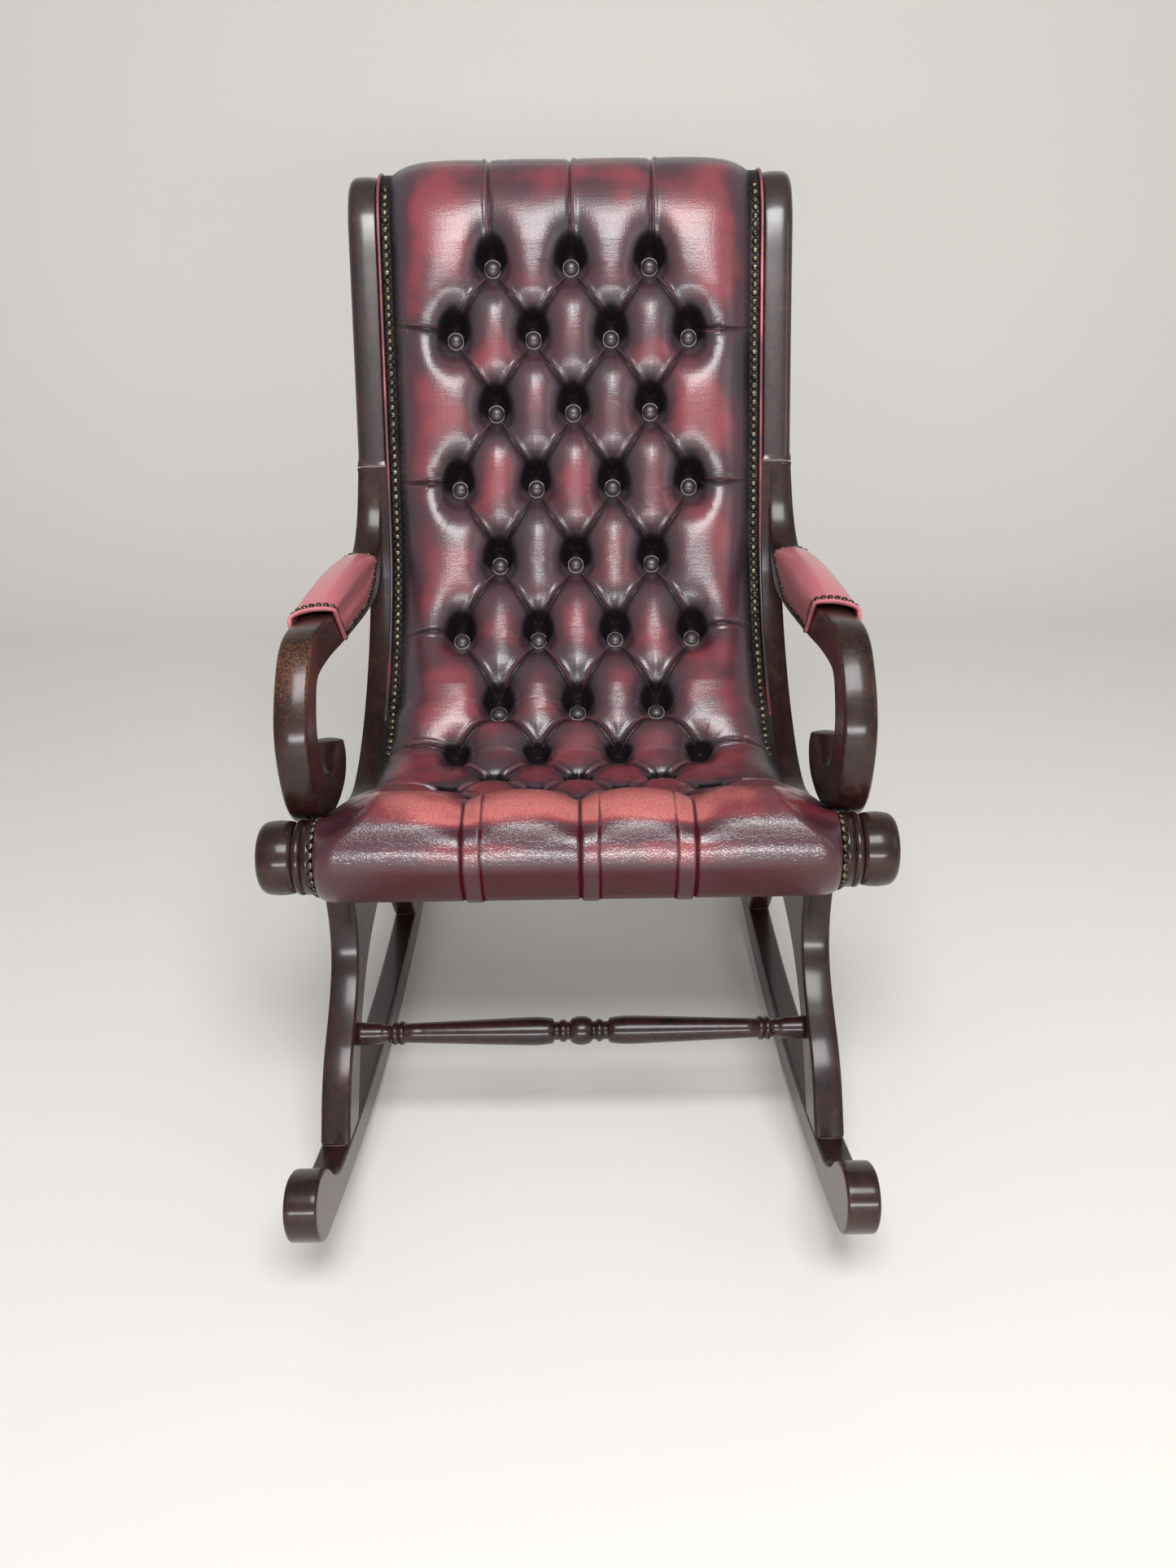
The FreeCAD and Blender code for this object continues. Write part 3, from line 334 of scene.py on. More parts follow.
def fold_fields(x, at, curves, reach=0.050):
    """Distance to the nearest fold, the signed distance (outer side positive), how far along, and the fold's depth."""
    nearest = np.full(x.shape, 0.2)
    signed = np.full(x.shape, 0.2)
    along = np.zeros(x.shape)
    depths = np.zeros(x.shape)
    line = at[:, 0]
    for curve, sign, depth in curves:
        low, high = curve[:, 1].min() - reach, curve[:, 1].max() + reach
        rows = slice(*np.searchsorted(line, (low, high)))
        px, ps = x[rows], at[rows]
        for i, (start, end) in enumerate(zip(curve, curve[1:])):
            run = end - start
            length = np.linalg.norm(run)
            t = np.clip(((px - start[0]) * run[0] + (ps - start[1]) * run[1]) / length ** 2, 0, 1)
            dx, ds = px - start[0] - t * run[0], ps - start[1] - t * run[1]
            distance = np.hypot(dx, ds)
            outer = np.sign(dx * run[1] - ds * run[0]) * np.sign(run[1]) * sign
            closer = distance < nearest[rows]
            nearest[rows] = np.where(closer, distance, nearest[rows])
            signed[rows] = np.where(closer, distance * outer, signed[rows])
            along[rows] = np.where(closer, (i + t) / (len(curve) - 1), along[rows])
            depths[rows] = np.where(closer, depth, depths[rows])
    return nearest, signed, along, depths


def pit_fields(x, at, reach=0.20):
    """Distance to the nearest pit in pit sizes, the same to its dark well above the button, where the pit's shadow is
    painted, and the stuffing left.
    """
    form = np.full(x.shape, 9.0)
    well = np.full(x.shape, 9.0)
    left = np.ones(x.shape)
    line = at[:, 0]
    for row in pits():
        for px, ps, _ in row:
            rows = slice(*np.searchsorted(line, (ps - reach, ps + reach)))
            dx, rise = x[rows] - px, at[rows] - ps
            wide, over, under = BACK_PIT if ps > BACK_FROM else SEAT_PIT if ps > PIT_ROWS[0][0] else FRONT_PIT
            near = np.hypot(dx / wide, rise / np.where(rise > 0, over, under))
            form[rows] = np.minimum(form[rows], near)
            taken = 0.26 / (np.clip(near - 0.28, 0, 9) ** 2 + 0.26)
            left[rows] *= 1 - taken * np.clip(1 - (rise / reach) ** 2, 0, 1) ** 2
            tall = np.where(rise > WELL_RISE, over - 0.012, under - 0.006)
            dark = np.hypot(dx / (0.92 * wide), (rise - WELL_RISE) / tall)
            well[rows] = np.minimum(well[rows], dark)
    return form, well, left


def wrinkle_field(x, at, seed=11):
    """Shallow gathers that run out from every button."""
    rng = np.random.default_rng(seed)
    # Least and greatest angle, length, width and depth of a gather.
    least, most = (0, 0.020, 0.0012, 0.0003), (2 * math.pi, 0.048, 0.0024, 0.0010)
    depth = np.zeros(x.shape)
    line = at[:, 0]
    for row in pits():
        for px, ps, _ in row:
            rows = slice(*np.searchsorted(line, (ps - 0.06, ps + 0.06)))
            dx, ds = x[rows] - px, at[rows] - ps
            distance = np.hypot(dx, ds)
            for _ in range(14):
                angle, length, width, size = rng.uniform(least, most)
                along = dx * math.cos(angle) + ds * math.sin(angle)
                aside = -dx * math.sin(angle) + ds * math.cos(angle)
                fade = np.clip(1 - np.abs(along - length * 0.6) / (length * 0.5), 0, 1)
                depth[rows] += size * fade * np.exp(-(aside / width) ** 2) * (distance > 0.004)
    return depth


def half_width(at, sizes):
    """Half the width of the leather: over the rails at the front, between the welts behind."""
    flare = 0.0225 * smoothstep(0.135, 0.045, at)
    return sizes.back_half + (sizes.seat_half - sizes.back_half) * smoothstep(0.285, 0.262, at) + flare


def leather_heights(x, at, sizes):
    """Height of the leather above the rail line, how dark it is, where it is held, and its seams.

    A seam is given by the signed distance to the nearest pleat and by how near and open that pleat is."""
    # The stuffing rises from the nail row to its crown, and falls to the pits and along the pleats.
    crown = np.interp(at, *np.array(CROWNS).T)
    inset = half_width(at, sizes) - np.abs(x)
    nailed = np.clip(inset - 0.0115 * smoothstep(0.15, 0.24, at), 0, 1)
    edge = 1 - np.exp(-nailed / sizes.edge)
    fold, signed, along, depth = fold_fields(x, at, pleats())
    form, well, hollow = pit_fields(x, at)
    deep = (0.20 + 0.12 * np.abs(2 * along - 1) ** 1.5) * depth
    valley = 1 - deep * np.clip(1 - fold / 0.040, 0, 1) ** 2 - 0.10 * depth * np.exp(-fold / (0.4 * sizes.pleat_width))
    full = 1.20 * crown * edge * hollow * valley
    # A pleat is a sharp fold with a raised lip on its outer side; both run out in the pits and at the edge.
    reach = np.clip(smoothstep(0.35, 1.0, form) * edge * 1.6, 0, 1)
    crease = -sizes.crease * (0.35 + 0.65 * depth) * np.exp(-(fold / 0.0026) ** 2) * reach
    lip = 0.0019 * np.exp(-((signed - 0.0046) / 0.0028) ** 2) * reach
    height = sizes.lip + full + crease + lip - wrinkle_field(x, at) * edge
    # Dark tones: the slopes beside pleats and wells, the turn of the crest, the wells and the nailed edge. On the
    # slopes and in the wells this is the antique finish that gathers in hollows together with painted shade; the dark
    # well above each button is the painted shadow of the pit's upper wall.
    slope = 0.10 + 0.36 * depth * np.exp(-fold / 0.015) + 0.26 * smoothstep(2.1, 0.9, well)
    slope += 0.26 * np.exp(-((at - 0.945) / 0.018) ** 2) - 0.12 * smoothstep(0.24, 0.17, at)
    dark = smoothstep(1.16, 0.80, well)
    shade = 1 - (1 - slope) * (1 - dark)
    shade = np.maximum(shade, 0.85 * np.exp(-nailed / 0.020))
    held = (form < 0.75) | (fold < 0.004) | (inset < 0.014)
    seam = np.clip(signed, -SEAM_REACH, SEAM_REACH)
    nearness = np.exp(-(fold / 0.007) ** 2) * reach * (1 - 0.9 * dark)
    return np.maximum(height, sizes.lip * 0.5), shade, held, seam, nearness


def scaled(colour, share):
    """A linear colour made darker or lighter."""
    return tuple(share * c for c in colour)


class Nodes:
    """A material's node tree with short ways to add and link nodes."""

    def __init__(self, name):
        self.material = bpy.data.materials.new(name)
        self.material.use_nodes = True
        self.tree = self.material.node_tree
        self.tree.nodes.clear()

    def add(self, kind, settings=None, **links):
        """Adds a node with its settings; links name input sockets and give values or output sockets."""
        node = self.tree.nodes.new(kind)
        for key, value in (settings or {}).items():
            setattr(node, key, value)
        for key, value in links.items():
            name = key.replace("_", " ")
            socket = node.inputs[int(key[1:])] if key[0] == "i" and key[1:].isdigit() else node.inputs[name]
            if isinstance(value, bpy.types.NodeSocket):
                self.tree.links.new(value, socket)
            else:
                socket.default_value = value
        return node

    def place(self):
        """The place in the piece's own coordinates."""
        return self.add("ShaderNodeTexCoord").outputs["Object"]

    def stretched(self, place, scale, turn=(0, 0, 0)):
        """The place turned and scaled, for a pattern that runs one way."""
        return self.add("ShaderNodeMapping", Vector=place, Rotation=turn, Scale=scale).outputs["Vector"]

    def noise(self, place, scale, detail, output="Fac", **more):
        return self.add("ShaderNodeTexNoise", Vector=place, Scale=scale, Detail=detail, **more).outputs[output]

    def attribute(self, name):
        """A number that is stored on the mesh."""
        return self.add("ShaderNodeAttribute", {"attribute_name": name}).outputs["Fac"]

    def math(self, operation, a, b=0.0):
        return self.add("ShaderNodeMath", {"operation": operation}, i0=a, i1=b).outputs[0]

    def plus(self, total, value, factor, middle=0.0):
        """The total plus factor times the value's distance from a middle."""
        off = self.math("SUBTRACT", value, middle) if middle else value
        return self.math("ADD", total, self.math("MULTIPLY", off, factor))

    def mixed(self, factor, under, over):
        """A colour under a linear colour that covers it by a factor."""
        return self.add("ShaderNodeMix", {"data_type": "RGBA"}, i0=factor, i6=under, i7=(*over, 1)).outputs[2]

    def ramp(self, value, stops):
        """A colour ramp over a value; stops are (position, linear colour or grey)."""
        node = self.add("ShaderNodeValToRGB", Fac=value)
        points = node.color_ramp.elements
        while len(points) < len(stops):
            points.new(1.0)
        for point, (place, colour) in zip(points, stops):
            point.position = place
            point.color = (*(colour if isinstance(colour, tuple) else (colour,) * 3), 1.0)
        return node.outputs["Color"]

    def bump(self, height, strength, distance):
        return self.add("ShaderNodeBump", Height=height, Strength=strength, Distance=distance).outputs["Normal"]

    def finish(self, **inputs):
        """Closes the material with a principled surface."""
        shader = self.add("ShaderNodeBsdfPrincipled", **inputs)
        self.add("ShaderNodeOutputMaterial", Surface=shader.outputs["BSDF"])
        return self.material


def leather(name, tones, creased=0.0, gloss=0.38, coat=0.5, blur=0.24):
    """Antiqued oxblood leather: black hollows, rubbed red crowns and pleat edges, a fine grain that glints; the dark
    hollows and pleat creases paint shade as well as the antique finish.
    """
    nodes = Nodes(name)
    place = nodes.place()
    clouds = nodes.noise(place, 12.0, 2.5, Roughness=0.55)
    mottle = nodes.noise(place, 420.0, 3.0, Roughness=0.65)
    warp = nodes.noise(place, 90.0, 3.0, "Color")
    bent = nodes.add("ShaderNodeMix", {"data_type": "VECTOR"}, i0=0.010, i4=place, i5=warp).outputs[1]
    grain = nodes.add("ShaderNodeTexVoronoi", {"feature": "SMOOTH_F1"}, Vector=place, Scale=780.0, Smoothness=0.6)
    crackle = nodes.add("ShaderNodeTexVoronoi", {"feature": "DISTANCE_TO_EDGE"}, Vector=bent, Scale=230.0)
    wrinkles = nodes.noise(nodes.stretched(place, (38.0, 90.0, 330.0)), 1.0, 3.0, Distortion=0.6)
    strokes = nodes.noise(nodes.stretched(place, (330.0, 90.0, 45.0)), 1.0, 3.0, Distortion=0.5)
    hollow, seam, near = (nodes.attribute(key) for key in ("hollow", "seam", "seam_near"))

    def ridge(offset, width=0.0011):
        """1 on a line beside the pleat, less to both sides of it."""
        aside = nodes.math("DIVIDE", nodes.math("SUBTRACT", seam, offset), width)
        drop = nodes.math("MULTIPLY", nodes.math("MULTIPLY", aside, aside), -1.0)
        return nodes.math("MULTIPLY", nodes.math("EXPONENT", drop), near)

    line, edge = ridge(0.0), ridge(0.0026)
    # The stored hollow value darkens the colour; on the back and the roll it holds painted shade as well as the
    # antique finish.
    shade = nodes.plus(nodes.plus(hollow, clouds, 1.1, 0.5), mottle, 0.22, 0.5)
    colour = nodes.ramp(shade, tuple(zip((0.0, 0.22, 0.50, 0.86), tones)))
    rubbed = nodes.math("MULTIPLY", edge, nodes.ramp(clouds, ((0.42, 0.10), (0.62, 0.60))))
    colour = nodes.mixed(rubbed, colour, linear("#9c5f64"))
    # The pleat's crease line is painted shade, in the darkest tone.
    colour = nodes.mixed(nodes.math("MULTIPLY", line, 0.95), colour, tones[3])
    lines = nodes.ramp(crackle.outputs["Distance"], ((0.0, 0.0), (0.11, 1.0)))
    cracks = nodes.math("MULTIPLY", nodes.math("SUBTRACT", 1.0, lines), 0.7 * creased)
    colour = nodes.mixed(cracks, colour, tones[2])
    relief = nodes.math("MULTIPLY", grain.outputs["Distance"], 0.30)
    for pattern, height in ((lines, 0.40 * creased), (wrinkles, 0.45), (strokes, 0.35), (edge, 2.2), (line, -2.6)):
        relief = nodes.plus(relief, pattern, height)
    bump = nodes.bump(relief, 0.30, 0.0011)
    deep = nodes.add("ShaderNodeClamp", Value=nodes.math("SUBTRACT", hollow, 0.45)).outputs[0]
    rough = nodes.plus(nodes.plus(gloss - 0.13, mottle, 0.26), deep, 0.5)
    bright = nodes.plus(0.5, deep, -0.85)
    return nodes.finish(
        Base_Color=colour, Roughness=rough, Normal=bump, Specular_IOR_Level=bright,
        Coat_Weight=nodes.math("MULTIPLY", bright, 2 * coat), Coat_Roughness=blur, Coat_Normal=bump,
    )


def joint_lines(nodes, place, width=0.0009):
    """1 where an old joint has opened: at the leg's foot on the rocker and at the seam of arm and post."""
    axes = nodes.add("ShaderNodeSeparateXYZ", Vector=place).outputs
    run = nodes.math("SUBTRACT", axes["Y"], ROCKER_MIDDLE)
    foot = nodes.plus(axes["Z"], nodes.math("MULTIPLY", run, run), -1 / (2 * ROCKER_RADIUS))
    foot = nodes.math("SUBTRACT", foot, ROCKER_TOP)
    y, z, heading = POST_SEAM
    lean, rise = math.cos(math.radians(heading)), math.sin(math.radians(heading))
    seam = nodes.plus(nodes.math("MULTIPLY", axes["Y"], lean), axes["Z"], rise)
    seam = nodes.math("SUBTRACT", seam, y * lean + z * rise)
    near = nodes.math("MINIMUM", nodes.math("ABSOLUTE", foot), nodes.math("ABSOLUTE", seam))
    return nodes.math("LESS_THAN", near, width)


def stained_wood(name, dark, warm, turn=(0, 0, 0), lacquer=0.55, joints=False):
    """Mahogany-stained wood under gloss lacquer: near-black red with warm streaks, rubbed edges and worn patches."""
    nodes = Nodes(name)
    place = nodes.place()
    streaks = nodes.noise(nodes.stretched(place, (110.0, 6.0, 110.0), turn), 1.0, 5.0, Roughness=0.65, Distortion=0.5)
    clouds = nodes.noise(place, 18.0, 3.0)
    chips = nodes.noise(place, 380.0, 4.0, Roughness=0.75)
    value = nodes.plus(nodes.plus(streaks, clouds, 0.6), nodes.attribute("rim"), 0.18)
    colour = nodes.ramp(value, ((0.55, dark), (0.95, warm), (1.0, scaled(warm, 1.5))))
    bare = nodes.ramp(nodes.plus(nodes.attribute("wear"), chips, 1.9, 0.5), ((0.42, 0.0), (0.95, 0.8)))
    colour = nodes.mixed(bare, colour, linear("#774a31"))
    if joints:
        colour = nodes.mixed(joint_lines(nodes, place), colour, linear("#a08d80"))
    return nodes.finish(
        Base_Color=colour, Roughness=nodes.ramp(chips, ((0.35, 0.34), (0.75, 0.50))),
        Normal=nodes.bump(streaks, 0.07, 0.0006), Coat_Weight=lacquer, Coat_Roughness=0.17,
        Specular_IOR_Level=0.35 * lacquer,
    )


def antique_brass(name, colour):
    """Antiqued brass: dark bronze metal with blackened patches and small bright spots."""
    nodes = Nodes(name)
    tint = nodes.ramp(nodes.noise(nodes.place(), 190.0, 2.0), ((0.36, scaled(colour, 0.16)), (0.66, colour)))
    return nodes.finish(Base_Color=tint, Metallic=1.0, Roughness=0.36)


def plain(name, colour, rough):
    """A dull plain surface for hidden wood, cloth and straps, with a faint unevenness."""
    nodes = Nodes(name)
    tint = nodes.ramp(nodes.noise(nodes.place(), 70.0, 3.0), ((0.3, scaled(colour, 0.8)), (0.7, colour)))
    return nodes.finish(Base_Color=tint, Roughness=rough)


class CHAIR_OT_materials(Operator):
    """Makes the chair's materials and gives the CAD nodes that stay their own"""

    bl_idname = "chair.materials"
    bl_label = "Materials"

    def execute(self, context):
        colours = {name: tuple(getattr(context.scene.chair_colours, name)) for name in Colours.__annotations__}
        wood = colours["wood_dark"], colours["wood_warm"]
        tones, rolled = (
            [colours[f"{part}_{tone}"] for tone in ("bright", "red", "brown", "dark")] for part in ("leather", "roll")
        )
        pad = colours["leather_pad"]
        pad_tones = [scaled(pad, k) for k in (1.1, 1.0, 0.8, 0.3)]
        dark_tones = [scaled(tones[2], k) for k in (1.0, 0.8, 0.6, 0.3)]
        quarter = math.radians(90)
        MATERIALS.update({
            "leather": leather("antiqued oxblood leather", tones, coat=0.75, blur=0.22),
            "roll leather": leather("creased oxblood leather", rolled, creased=0.5, gloss=0.36, coat=1.0, blur=0.14),
            "pad leather": leather("red pad leather", pad_tones, gloss=0.42, coat=0.7),
            "dark leather": leather("dark antiqued leather", dark_tones, coat=0.4),
            "welt leather": leather("rubbed welt leather", [pad, rolled[1], *tones[2:]]),
            "button edge": plain("pale button edge", linear("#9b8f84"), 0.35),
            "wood along": stained_wood("mahogany stained wood along", *wood),
            "wood leg": stained_wood("mahogany stained leg wood", *wood, (quarter, 0, 0), joints=True),
            "wood post": stained_wood("mahogany stained post wood", *wood, (quarter, 0, 0), 1.0, joints=True),
            "wood across": stained_wood("mahogany stained wood across", *wood, (0, 0, quarter)),
            "brass": antique_brass("antique brass", colours["brass"]),
            "bare wood": plain("bare wood", linear("#b08a5c"), 0.7),
            "webbing": plain("jute webbing", linear("#6b5a45"), 0.9),
            "black cloth": plain("black dust cloth", linear("#191717"), 0.95),
        })
        for material, names in KEPT_NODES.items():
            for name in names:
                NODES[name].data.materials.clear()
                NODES[name].data.materials.append(MATERIALS[material])
        return {"FINISHED"}


def shell(front, back):
    """A closed shell from two grids of the same shape, front facing out."""
    rows, columns = front.shape[:2]
    count = rows * columns
    points = np.concatenate((front.reshape(-1, 3), back.reshape(-1, 3)))
    faces = [grid_faces(rows, columns), grid_faces(rows, columns, count)[:, ::-1]]
    index = np.arange(count).reshape(rows, columns)
    ring = np.concatenate((index[0], index[1:, -1], index[-1, -2::-1], index[-2:0:-1, 0]))
    after = np.roll(ring, -1)
    faces.append(np.stack((after, ring, ring + count, after + count), -1))
    return points, np.concatenate(faces)


def backed(front, back):
    """A closed solid from a front grid and a back that is straight across; back holds its two edges for each row."""
    rows, columns = front.shape[:2]
    count = rows * columns
    points = np.concatenate((front.reshape(-1, 3), back.reshape(-1, 3)))
    index = np.arange(count).reshape(rows, columns)
    left, right = count + 2 * np.arange(rows), count + 2 * np.arange(rows) + 1
    faces = [tuple(f) for f in grid_faces(rows, columns)]
    faces += list(zip(left[:-1], left[1:], right[1:], right[:-1]))
    faces += list(zip(index[:-1, 0], index[1:, 0], left[1:], left[:-1]))
    faces += list(zip(index[1:, -1], index[:-1, -1], right[:-1], right[1:]))
    faces += [(*index[0, ::-1], left[0], right[0]), (*index[-1], right[-1], left[-1])]
    return points, faces


def swollen(grid, held, pressure, cap):
    """The grid after a short cloth simulation under inner pressure; held points stay, no point moves past the cap."""
    rows, columns = grid.shape[:2]
    pick_rows = np.unique(np.append(np.arange(0, rows, SIM_STRIDE), rows - 1))
    pick_columns = np.unique(np.append(np.arange(0, columns, SIM_STRIDE), columns - 1))
    coarse = grid[np.ix_(pick_rows, pick_columns)]
    near = np.zeros(coarse.shape[:2], bool)
    reach = SIM_STRIDE // 2
    for i, row in enumerate(pick_rows):
        for j, column in enumerate(pick_columns):
            near[i, j] = held[max(row - reach, 0):row + reach + 1, max(column - reach, 0):column + reach + 1].any()
    near[[0, -1]] = True
    near[:, [0, -1]] = True
    mesh = bpy.data.meshes.new("cloth")
    mesh.from_pydata(coarse.reshape(-1, 3).tolist(), [], grid_faces(*coarse.shape[:2]).tolist())
    cloth = bpy.data.objects.new("cloth", mesh)
    scene = bpy.context.scene
    scene.collection.objects.link(cloth)
    group = cloth.vertex_groups.new(name="held")
    group.add(np.flatnonzero(near.ravel()).tolist(), 1.0, "REPLACE")
    modifier = cloth.modifiers.new("cloth", "CLOTH")
    settings = modifier.settings
    settings.vertex_group_mass = "held"
    settings.quality = 5
    settings.mass = 0.4
    settings.tension_stiffness = settings.compression_stiffness = 20
    settings.bending_stiffness = 1.5
    settings.use_pressure = True
    settings.uniform_pressure_force = pressure
    settings.effector_weights.gravity = 0
    modifier.point_cache.frame_start, modifier.point_cache.frame_end = 1, SIM_FRAMES
    for number in range(1, SIM_FRAMES + 1):
        scene.frame_set(number)
    graph = bpy.context.evaluated_depsgraph_get()
    moved = np.array([v.co for v in cloth.evaluated_get(graph).data.vertices]).reshape(coarse.shape)
    bpy.data.objects.remove(cloth)
    scene.frame_set(1)
    shift = moved - coarse
    length = np.linalg.norm(shift, axis=2, keepdims=True)
    shift *= np.minimum(1, cap / np.maximum(length, 1e-9))
    for axis, (count, picked) in enumerate(((rows, pick_rows), (columns, pick_columns))):
        shift = np.apply_along_axis(lambda line: np.interp(np.arange(count), picked, line), axis, shift)
    return grid + shift


class CHAIR_OT_leather(Operator):
    """Makes the buttoned seat and back as one leather cover"""

    bl_idname = "chair.leather"
    bl_label = "Buttoned leather"

    def execute(self, context):
        sizes = context.scene.chair_leather
        step = sizes.grid * 1.0
        line = np.linspace(0, RAIL_END, round(RAIL_END / step))
        across = np.linspace(-1, 1, round(2 * sizes.seat_half / step))
        at = np.repeat(line[:, None], len(across), 1)
        x = across[None, :] * half_width(at, sizes)
        height, shade, held, seam, nearness = leather_heights(x, at, sizes)
        lean = sizes.lean * smoothstep(0.22, 0.30, at) * smoothstep(0.90, 0.84, at)
        front = swollen(on_rail(x, at - lean * height, height), held, 4.0, 0.007)
        ends = half_width(line, sizes)
        back = np.stack([on_rail(side * ends, line, -0.0005 + 0 * line) for _, side in SIDES], 1)
        piece = piece_from("buttoned_leather", *backed(front, back), "leather", ("seat_cushion", "back_cushion"))
        for name, values, rest in (("hollow", shade, 1.0), ("seam", seam, SEAM_REACH), ("seam_near", nearness, 0.0)):
            write_attribute(piece, name, np.append(values.ravel(), np.full(2 * len(line), rest)))
        return {"FINISHED"}


class CHAIR_OT_roll(Operator):
    """Makes the rolled seat front with its three pleats"""

    bl_idname = "chair.roll"
    bl_label = "Front roll"

    def execute(self, context):
        sizes = context.scene.chair_roll
        columns, rows = ((430, 190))
        x = np.linspace(-sizes.half, sizes.half, columns)[None, :]
        # The angle runs from the rear of the top over the front to the rear of the underside; 0 faces forward.
        angle = np.linspace(math.radians(148), math.radians(-150), rows)[:, None]
        top = smoothstep(math.radians(15), math.radians(75), angle)
        end_round = 0.024
        inset = np.clip((sizes.half - np.abs(x)) / (end_round + (sizes.shoulder - end_round) * top), 0, 1)
        round_off = np.sqrt(1 - (1 - inset) ** 2)
        round_off = round_off + (smoothstep(0, 1, inset) * 0.75 + inset * 0.25 - round_off) * top
        radius = sizes.end_radius + (sizes.radius - sizes.end_radius) * round_off
        # Dull bands run along the roll and the gathered ends are dark; the dark underside is painted shade.
        ends = smoothstep(0.60, 1.0, np.abs(x) / sizes.half)
        underside_shade_and_bands = 0.84 * smoothstep(math.radians(17), math.radians(-7), angle)
        for dull, middle in ((0.80, 38), (0.36, 15)):
            underside_shade_and_bands = underside_shade_and_bands + dull * np.exp(-((angle - math.radians(middle)) / 0.20) ** 2)
        shade = 0.02 + 0.50 * ends + underside_shade_and_bands * (1 - 0.85 * ends)
        held = np.zeros(radius.shape, bool)
        for place, side in ROLL_PLEATS:
            off = (x - place) * side
            valley = 0.0125 * np.exp(-np.abs(off / 0.021) ** 1.5) * top
            band = smoothstep(-0.001, 0.0015, off) * smoothstep(0.0185, 0.0160, off)
            radius += 0.0016 * band - valley - 0.0022 * np.exp(-(off / 0.0016) ** 2)
            # Each pleat's crease and the far edge of its band get painted shade; the band itself is a little lighter.
            fold, far_edge = np.exp(-(off / 0.0014) ** 2), np.exp(-((off - 0.0187) / 0.0011) ** 2)
            shade = shade + 0.8 * fold - 0.08 * band + 0.4 * far_edge
            held |= np.abs(off - 0.009) < 0.011
        lift = 0.011 * round_off

        def surface(wide, share):
            """The roll's surface at shares of its length and radius."""
            y = ROLL_AXIS[0] - share * radius * np.cos(angle)
            z = ROLL_AXIS[1] + lift + share * radius * np.sin(angle)
            return np.stack(np.broadcast_arrays(x * wide, y, z), -1)

        outer = swollen(surface(1.0, 1.0), held | (inset < 0.25), 3.0, 0.003)
        piece = piece_from("rolled_front", *shell(outer, surface(0.985, 0.55)), "roll leather", ("front_roll",))
        write_attribute(piece, "hollow", np.concatenate((shade.ravel(), np.ones(shade.size))))
        return {"FINISHED"}


def arm_inner(y):
    """The inner face of an arm, which is toed in towards the post."""
    return 0.256 - (y + 0.192) * 0.035477


def arm_thick(z):
    """The arm's thickness, less in the tail."""
    return ARM_THICK - 0.005 * np.clip((z - 0.558) / 0.094, 0, 1)


def section_loop(points, mesh, level):
    """The longest outline of a mesh cut by the plane x = level, as (y, z) points."""
    mesh.calc_loop_triangles()
    ends = {}
    for triangle in mesh.loop_triangles:
        corners = points[list(triangle.vertices)]
        side = corners[:, 0] > level
        if side.all() or not side.any():
            continue
        cut = []
        for a, b in ((0, 1), (1, 2), (2, 0)):
            if side[a] != side[b]:
                t = (level - corners[a, 0]) / (corners[b, 0] - corners[a, 0])
                cut.append(tuple(np.round(corners[a, 1:] + t * (corners[b, 1:] - corners[a, 1:]), 6)))
        if cut[0] != cut[1]:
            ends.setdefault(cut[0], []).append(cut[1])
            ends.setdefault(cut[1], []).append(cut[0])
    best, best_length = None, 0
    unused = set(ends)
    while unused:
        start = unused.pop()
        loop, here = [start], start
        while True:
            ahead = [p for p in ends[here] if p in unused]
            if not ahead:
                break
            here = ahead[0]
            unused.discard(here)
            loop.append(here)
        loop = np.array(loop)
        length = np.linalg.norm(np.roll(loop, -1, 0) - loop, axis=1).sum()
        if length > best_length:
            best, best_length = loop, length
    area = np.sum(best[:, 0] * np.roll(best[:, 1], -1) - np.roll(best[:, 0], -1) * best[:, 1])
    return best if area > 0 else best[::-1]


def even_outline(loop, step):
    """The outline with collinear points removed, resampled evenly and smoothly between its corners."""
    def turns(points):
        before, after = points - np.roll(points, 1, 0), np.roll(points, -1, 0) - points
        cross = before[:, 0] * after[:, 1] - before[:, 1] * after[:, 0]
        return np.degrees(np.arctan2(cross, (before * after).sum(1)))

    for _ in range(3):
        gap = np.linalg.norm(np.roll(loop, -1, 0) - loop, axis=1)
        loop = loop[gap > 2e-5]
        loop = loop[np.abs(turns(loop)) > 0.05]
    corners = np.flatnonzero(np.abs(turns(loop)) > 28)
    if not len(corners):
        corners = np.array([np.argmin(np.abs(turns(loop)))])
    loop = np.roll(loop, -corners[0], 0)
    corners = np.append(corners - corners[0], len(loop))
    closed = np.vstack((loop, loop[:1]))
    out = []
    for first, last in zip(corners, corners[1:]):
        part = closed[first:last + 1]
        knots = run_lengths(part)
        places = np.linspace(0, knots[-1], max(1, round(knots[-1] / step)) + 1)[:-1]
        if len(part) > 2:
            slope = np.gradient(part, knots, axis=0)
        else:
            slope = np.repeat((part[1:] - part[:1]) / knots[-1], 2, 0)
        index = np.clip(np.searchsorted(knots, places, "right") - 1, 0, len(part) - 2)
        span = (knots[index + 1] - knots[index])[:, None]
        t = (places - knots[index])[:, None] / span
        out.append((1 + 2 * t) * (1 - t) ** 2 * part[index] + t * (1 - t) ** 2 * span * slope[index]
                   + t * t * (3 - 2 * t) * part[index + 1] + t * t * (t - 1) * span * slope[index + 1])
    return np.concatenate(out)


